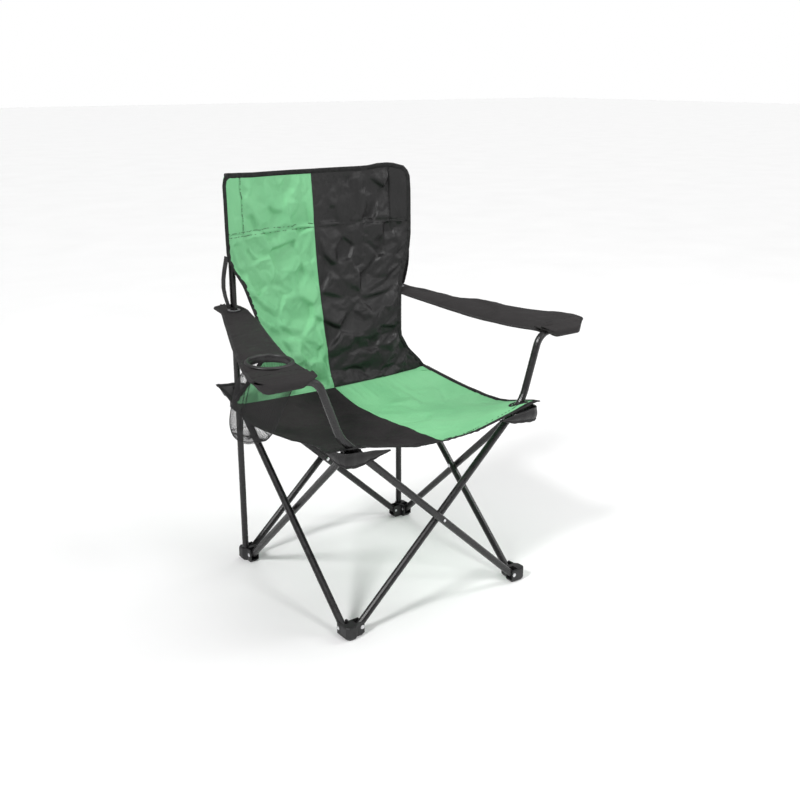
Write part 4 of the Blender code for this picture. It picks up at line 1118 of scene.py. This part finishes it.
def build_armrest(side):
    name = side_name(side)
    section = arm_section()
    order = ARM_OUTLINE[side][::-1]
    columns = 46
    across = np.linspace(0.0, 1.0, columns)
    edge = np.abs(2.0 * across - 1.0)
    points = np.zeros((columns, len(section), 3))
    for j, (y, z) in enumerate(section):
        key = max(y, ARM_FRONT)
        inner = np.interp(key, order[:, 0], order[:, 1])
        outer = np.interp(key, order[:, 0], order[:, 2])
        x = inner + (outer - inner) * across
        if j < ARM_TOP_ROWS:
            droop = 0.0040 * edge ** 4 * smoothstep(0.24, 0.12, y)
            hang = ARM_DROOP[side] * smoothstep(0.17, -0.06, y) * (1.0 - 0.45 * smoothstep(-0.10, -0.20, y))
            z = z - droop - hang * (1.0 - across) ** 2 + 0.0010 * (1.0 - edge ** 2)
        else:
            under = smoothstep(*POCKET[side], x)
            under = under * (1.0 - 0.96 * smoothstep(0.900, 1.0, across))
            z = SLEEVE_Z + (z - SLEEVE_Z) * (0.12 + 0.88 * under) if z < SLEEVE_Z else z
        start, depth = ARM_ROUND[side]
        round_off = depth * np.clip((across - start) / (1.0 - start), 0.0, 1.0) ** 2
        round_off += 0.010 * np.clip((0.12 - across) / 0.12, 0.0, 1.0) ** 2
        points[:, j, 0] = x
        points[:, j, 1] = y + round_off * smoothstep(-0.150, -0.215, section[j][0])
        points[:, j, 2] = z
    u = points[..., 0]
    v = points[..., 1]
    creases = folds(u, v, packing_creases(40 + side, 40, (0.19, -0.21), (0.37, 0.20), 0.040, 0.0014))
    facets = crumple(u, v, 60 + side, 60, (0.18, -0.22), (0.38, 0.24), 0.06, 0.004)
    facets *= np.minimum(1.0, (1.0 - edge[:, None]) / 0.10)
    points[:, :ARM_TOP_ROWS, 2] += (creases + facets)[:, :ARM_TOP_ROWS]
    grid = Grid(mirrored(points, side)[:, ::-1])
    rows = grid.p.shape[1]
    centre = (grid.p[:-1, :-1] + grid.p[1:, 1:]) / 2.0
    top_faces = np.arange(rows - 1)[None, :] > rows - ARM_TOP_ROWS - 2
    hole = (np.hypot(centre[..., 0] - side * CORNER, centre[..., 1] - CORNER) < 0.0090) & top_faces
    if side < 0:
        hole |= (np.hypot(centre[..., 0] - CUP[0], centre[..., 1] - CUP[1]) < CUP_HOLE_R) & top_faces
    cloth = grid.solid(f"armrest_cloth_{name}", "charcoal", ~hole, 0.0016)
    under = rows - ARM_TOP_ROWS
    tapes = [binding("arm_tape", [a[under:] for a in grid.edge(edge_name)], "arm_tape", ARM_TAPE, 90)
             for edge_name in ("left", "right")]
    tapes.append(binding("rear_tape", grid.edge("top"), "arm_tape", ARM_TAPE))
    tape = join(f"armrest_binding_{name}", tapes)
    lengthways = np.linspace(under + 6, rows - 6, 100)
    lines = [grid.at(np.full(100, inset), lengthways) for inset in (1.6, columns - 2.6)]
    lines.append(grid.at(np.linspace(2, columns - 3, 60), np.full(60, under + 4.0)))
    thread = stitches(f"armrest_thread_{name}", lines, 0.0009, "arm_tape")
    attach(f"arm_{name}", [(piece, "armrest_fabric") for piece in (cloth, tape, thread)], **arm_flatten(side))
    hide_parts(f"armrest_{name}")
    declare(grid)


# ---------------------------------------------------------------- cup net


def build_cup_rim():
    """Moulded rim of the cup holder: a rounded lip over a short inner wall."""
    angle = np.linspace(0.0, 2.0 * math.pi, 72, endpoint=False)
    out = np.stack([np.cos(angle), np.sin(angle), np.zeros(72)], axis=1)
    centre = np.tile([CUP[0], CUP[1], float(arm_height(CUP[1])) + 0.0010], (72, 1))
    centre[:, 2] += 0.035 * out[:, 1] * 0.036      # tilted as the armrest's top is
    rim = sweep("cup_rim", centre, out, np.tile(UP, (72, 1)), CUP_RIM, "ring", closed=True)
    attach("arm_right", [(rim, "black_plastic")], **arm_flatten(-1))
    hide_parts("cup_ring")


NET_RINGS, NET_AROUND = 61, 120
YARN_R = 0.00028


def net_surface():
    """Points of the net bag: columns round it, rings from its rim down to its closed bottom."""
    surface = np.zeros((NET_AROUND, NET_RINGS, 3))
    angle = np.linspace(0.0, 2.0 * math.pi, NET_AROUND, endpoint=False)
    for j in range(NET_RINGS):
        t = j / (NET_RINGS - 1)
        side_t = min(t / 0.80, 1.0)
        shrink = max(0.02, 1.0 - ((t - 0.62) / 0.38) ** 2.0) if t > 0.62 else 1.0
        half_w = (0.0405 - 0.0075 * side_t) * shrink
        half_l = (0.0440 + 0.0260 * min(side_t * 4, 1.0) - 0.017 * side_t) * shrink
        rumple = 1.0 + 0.03 * np.sin(angle * 5.0 + t * 4.0) * math.sin(math.pi * side_t)
        surface[:, j, 0] = CUP[0] + half_w * np.cos(angle) * rumple
        surface[:, j, 1] = CUP[1] + 0.083 * side_t ** 0.9 + half_l * np.sin(angle) * rumple
        surface[:, j, 2] = 0.5040 - 0.1450 * side_t + 0.002 * np.sin(angle * 3.0) * side_t
    return surface


def yarns(surface):
    """Three-sided yarns that cross the cells of the net by turns one way and the other."""
    verts, faces = [], []
    for j in range(NET_RINGS - 1):
        for i in range(NET_AROUND):
            k = (i + 1) % NET_AROUND
            start, end = (i, k) if (i + j) % 2 == 0 else (k, i)
            p, q = surface[start, j], surface[end, j + 1]
            way = q - p
            length = np.linalg.norm(way)
            if length < 1e-5:
                continue
            way /= length
            s = unit(np.cross(way, (0.3, 0.5, 0.81)))
            r = np.cross(way, s)
            base = len(verts)
            for centre in (p, q):
                for w in (0.0, 2 * math.pi / 3, 2 * math.pi * 2 / 3):
                    verts.append(centre + (s * math.cos(w) + r * math.sin(w)) * YARN_R)
            faces += [(base + a, base + b, base + 3 + b, base + 3 + a) for a, b in ((0, 1), (1, 2), (2, 0))]
    return new_mesh("cup_net_yarn", verts, faces, "net")


def net_cord(points, radius, closed):
    """A round cord of the bag's trim."""
    step = np.roll(points, -1, axis=0) - np.roll(points, 1, axis=0) if closed else np.gradient(points, axis=0)
    tangent = unit(step)
    s = unit(np.cross(tangent, (0.2, 0.1, 0.97)))
    return sweep("net_cord", points, s, np.cross(tangent, s), oval(radius, radius, 6), "tape", closed)


def build_net():
    """The net bag under the cup ring, with cords at its rim and foot and a seam down its rear."""
    surface = net_surface()
    net = yarns(surface)
    cords = [net_cord(surface[:, 0], 0.0016, True), net_cord(surface[:, 46], 0.0007, True)]
    cords += [net_cord(resample(surface[column, :49], 60), 0.0008, False) for column in (24, 27)]
    trim = join("cup_net_trim", cords)
    attach("arm_right", ((net, "net_mesh"), (trim, "net_mesh")), **arm_flatten(-1))
    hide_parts("cup_net")


# ---------------------------------------------------------------- straps


def build_strap(side):
    """Webbing from the sleeve's foot, bowed outwards, to the eyelet in the armrest's rear end."""
    name = side_name(side)
    line = [(0.2140, 0.1900, 0.6400), (0.2155, 0.1915, 0.6290), (0.2178, 0.1942, 0.6130),
            (0.2195, 0.1966, 0.5960), (0.2192, 0.1985, 0.5790), (0.2160, 0.1995, 0.5620),
            (0.2120, 0.1995, 0.5480), (0.2085, 0.1995, 0.5385)]
    points = resample(line, 40)
    points[:, 0] *= side
    width = np.tile([0.0, 1.0, 0.0], (40, 1))
    out = unit(np.cross(width, unit(np.gradient(points, axis=0)))) * side
    profile = [(-0.0075, -0.0006), (-0.0075, 0.0006), (-0.0068, 0.0010), (0.0068, 0.0010), (0.0075, 0.0006),
               (0.0075, -0.0006), (0.0068, -0.0010), (-0.0068, -0.0010)]
    strap = sweep(f"webbing_strap_{name}", points, width, out, profile, "webbing")
    lines = [(points + width * offset, out) for offset in (-0.0052, 0.0052)]
    thread = stitches(f"strap_thread_{name}", lines, 0.0010, "arm_tape", 0.0046, 0.0034)
    attach(f"rear_leg_{name}", ((strap, "webbing"), (thread, "webbing")))
    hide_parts(f"arm_strap_{name}")


# ---------------------------------------------------------------- the chair

build_back()
build_seat()
for side in (-1, 1):
    front_pocket(side)
    rear_ear(side)
    build_armrest(side)
    build_strap(side)
build_net()
build_cup_rim()

floor_mesh = bpy.data.meshes.new("floor")
floor_mesh.from_pydata([(-30, -30, 0), (30, -30, 0), (30, 30, 0), (-30, 30, 0)], [], [(0, 1, 2, 3)])
floor = bpy.data.objects.new("floor", floor_mesh)
scene.collection.objects.link(floor)
floor_look = Look("pale_floor", 0.7)
floor_look.colour(floor_look.noise(3.0), (0.3, (0.93, 0.93, 0.93)), (0.7, (0.96, 0.96, 0.96)))
floor_mesh.materials.append(floor_look.done())
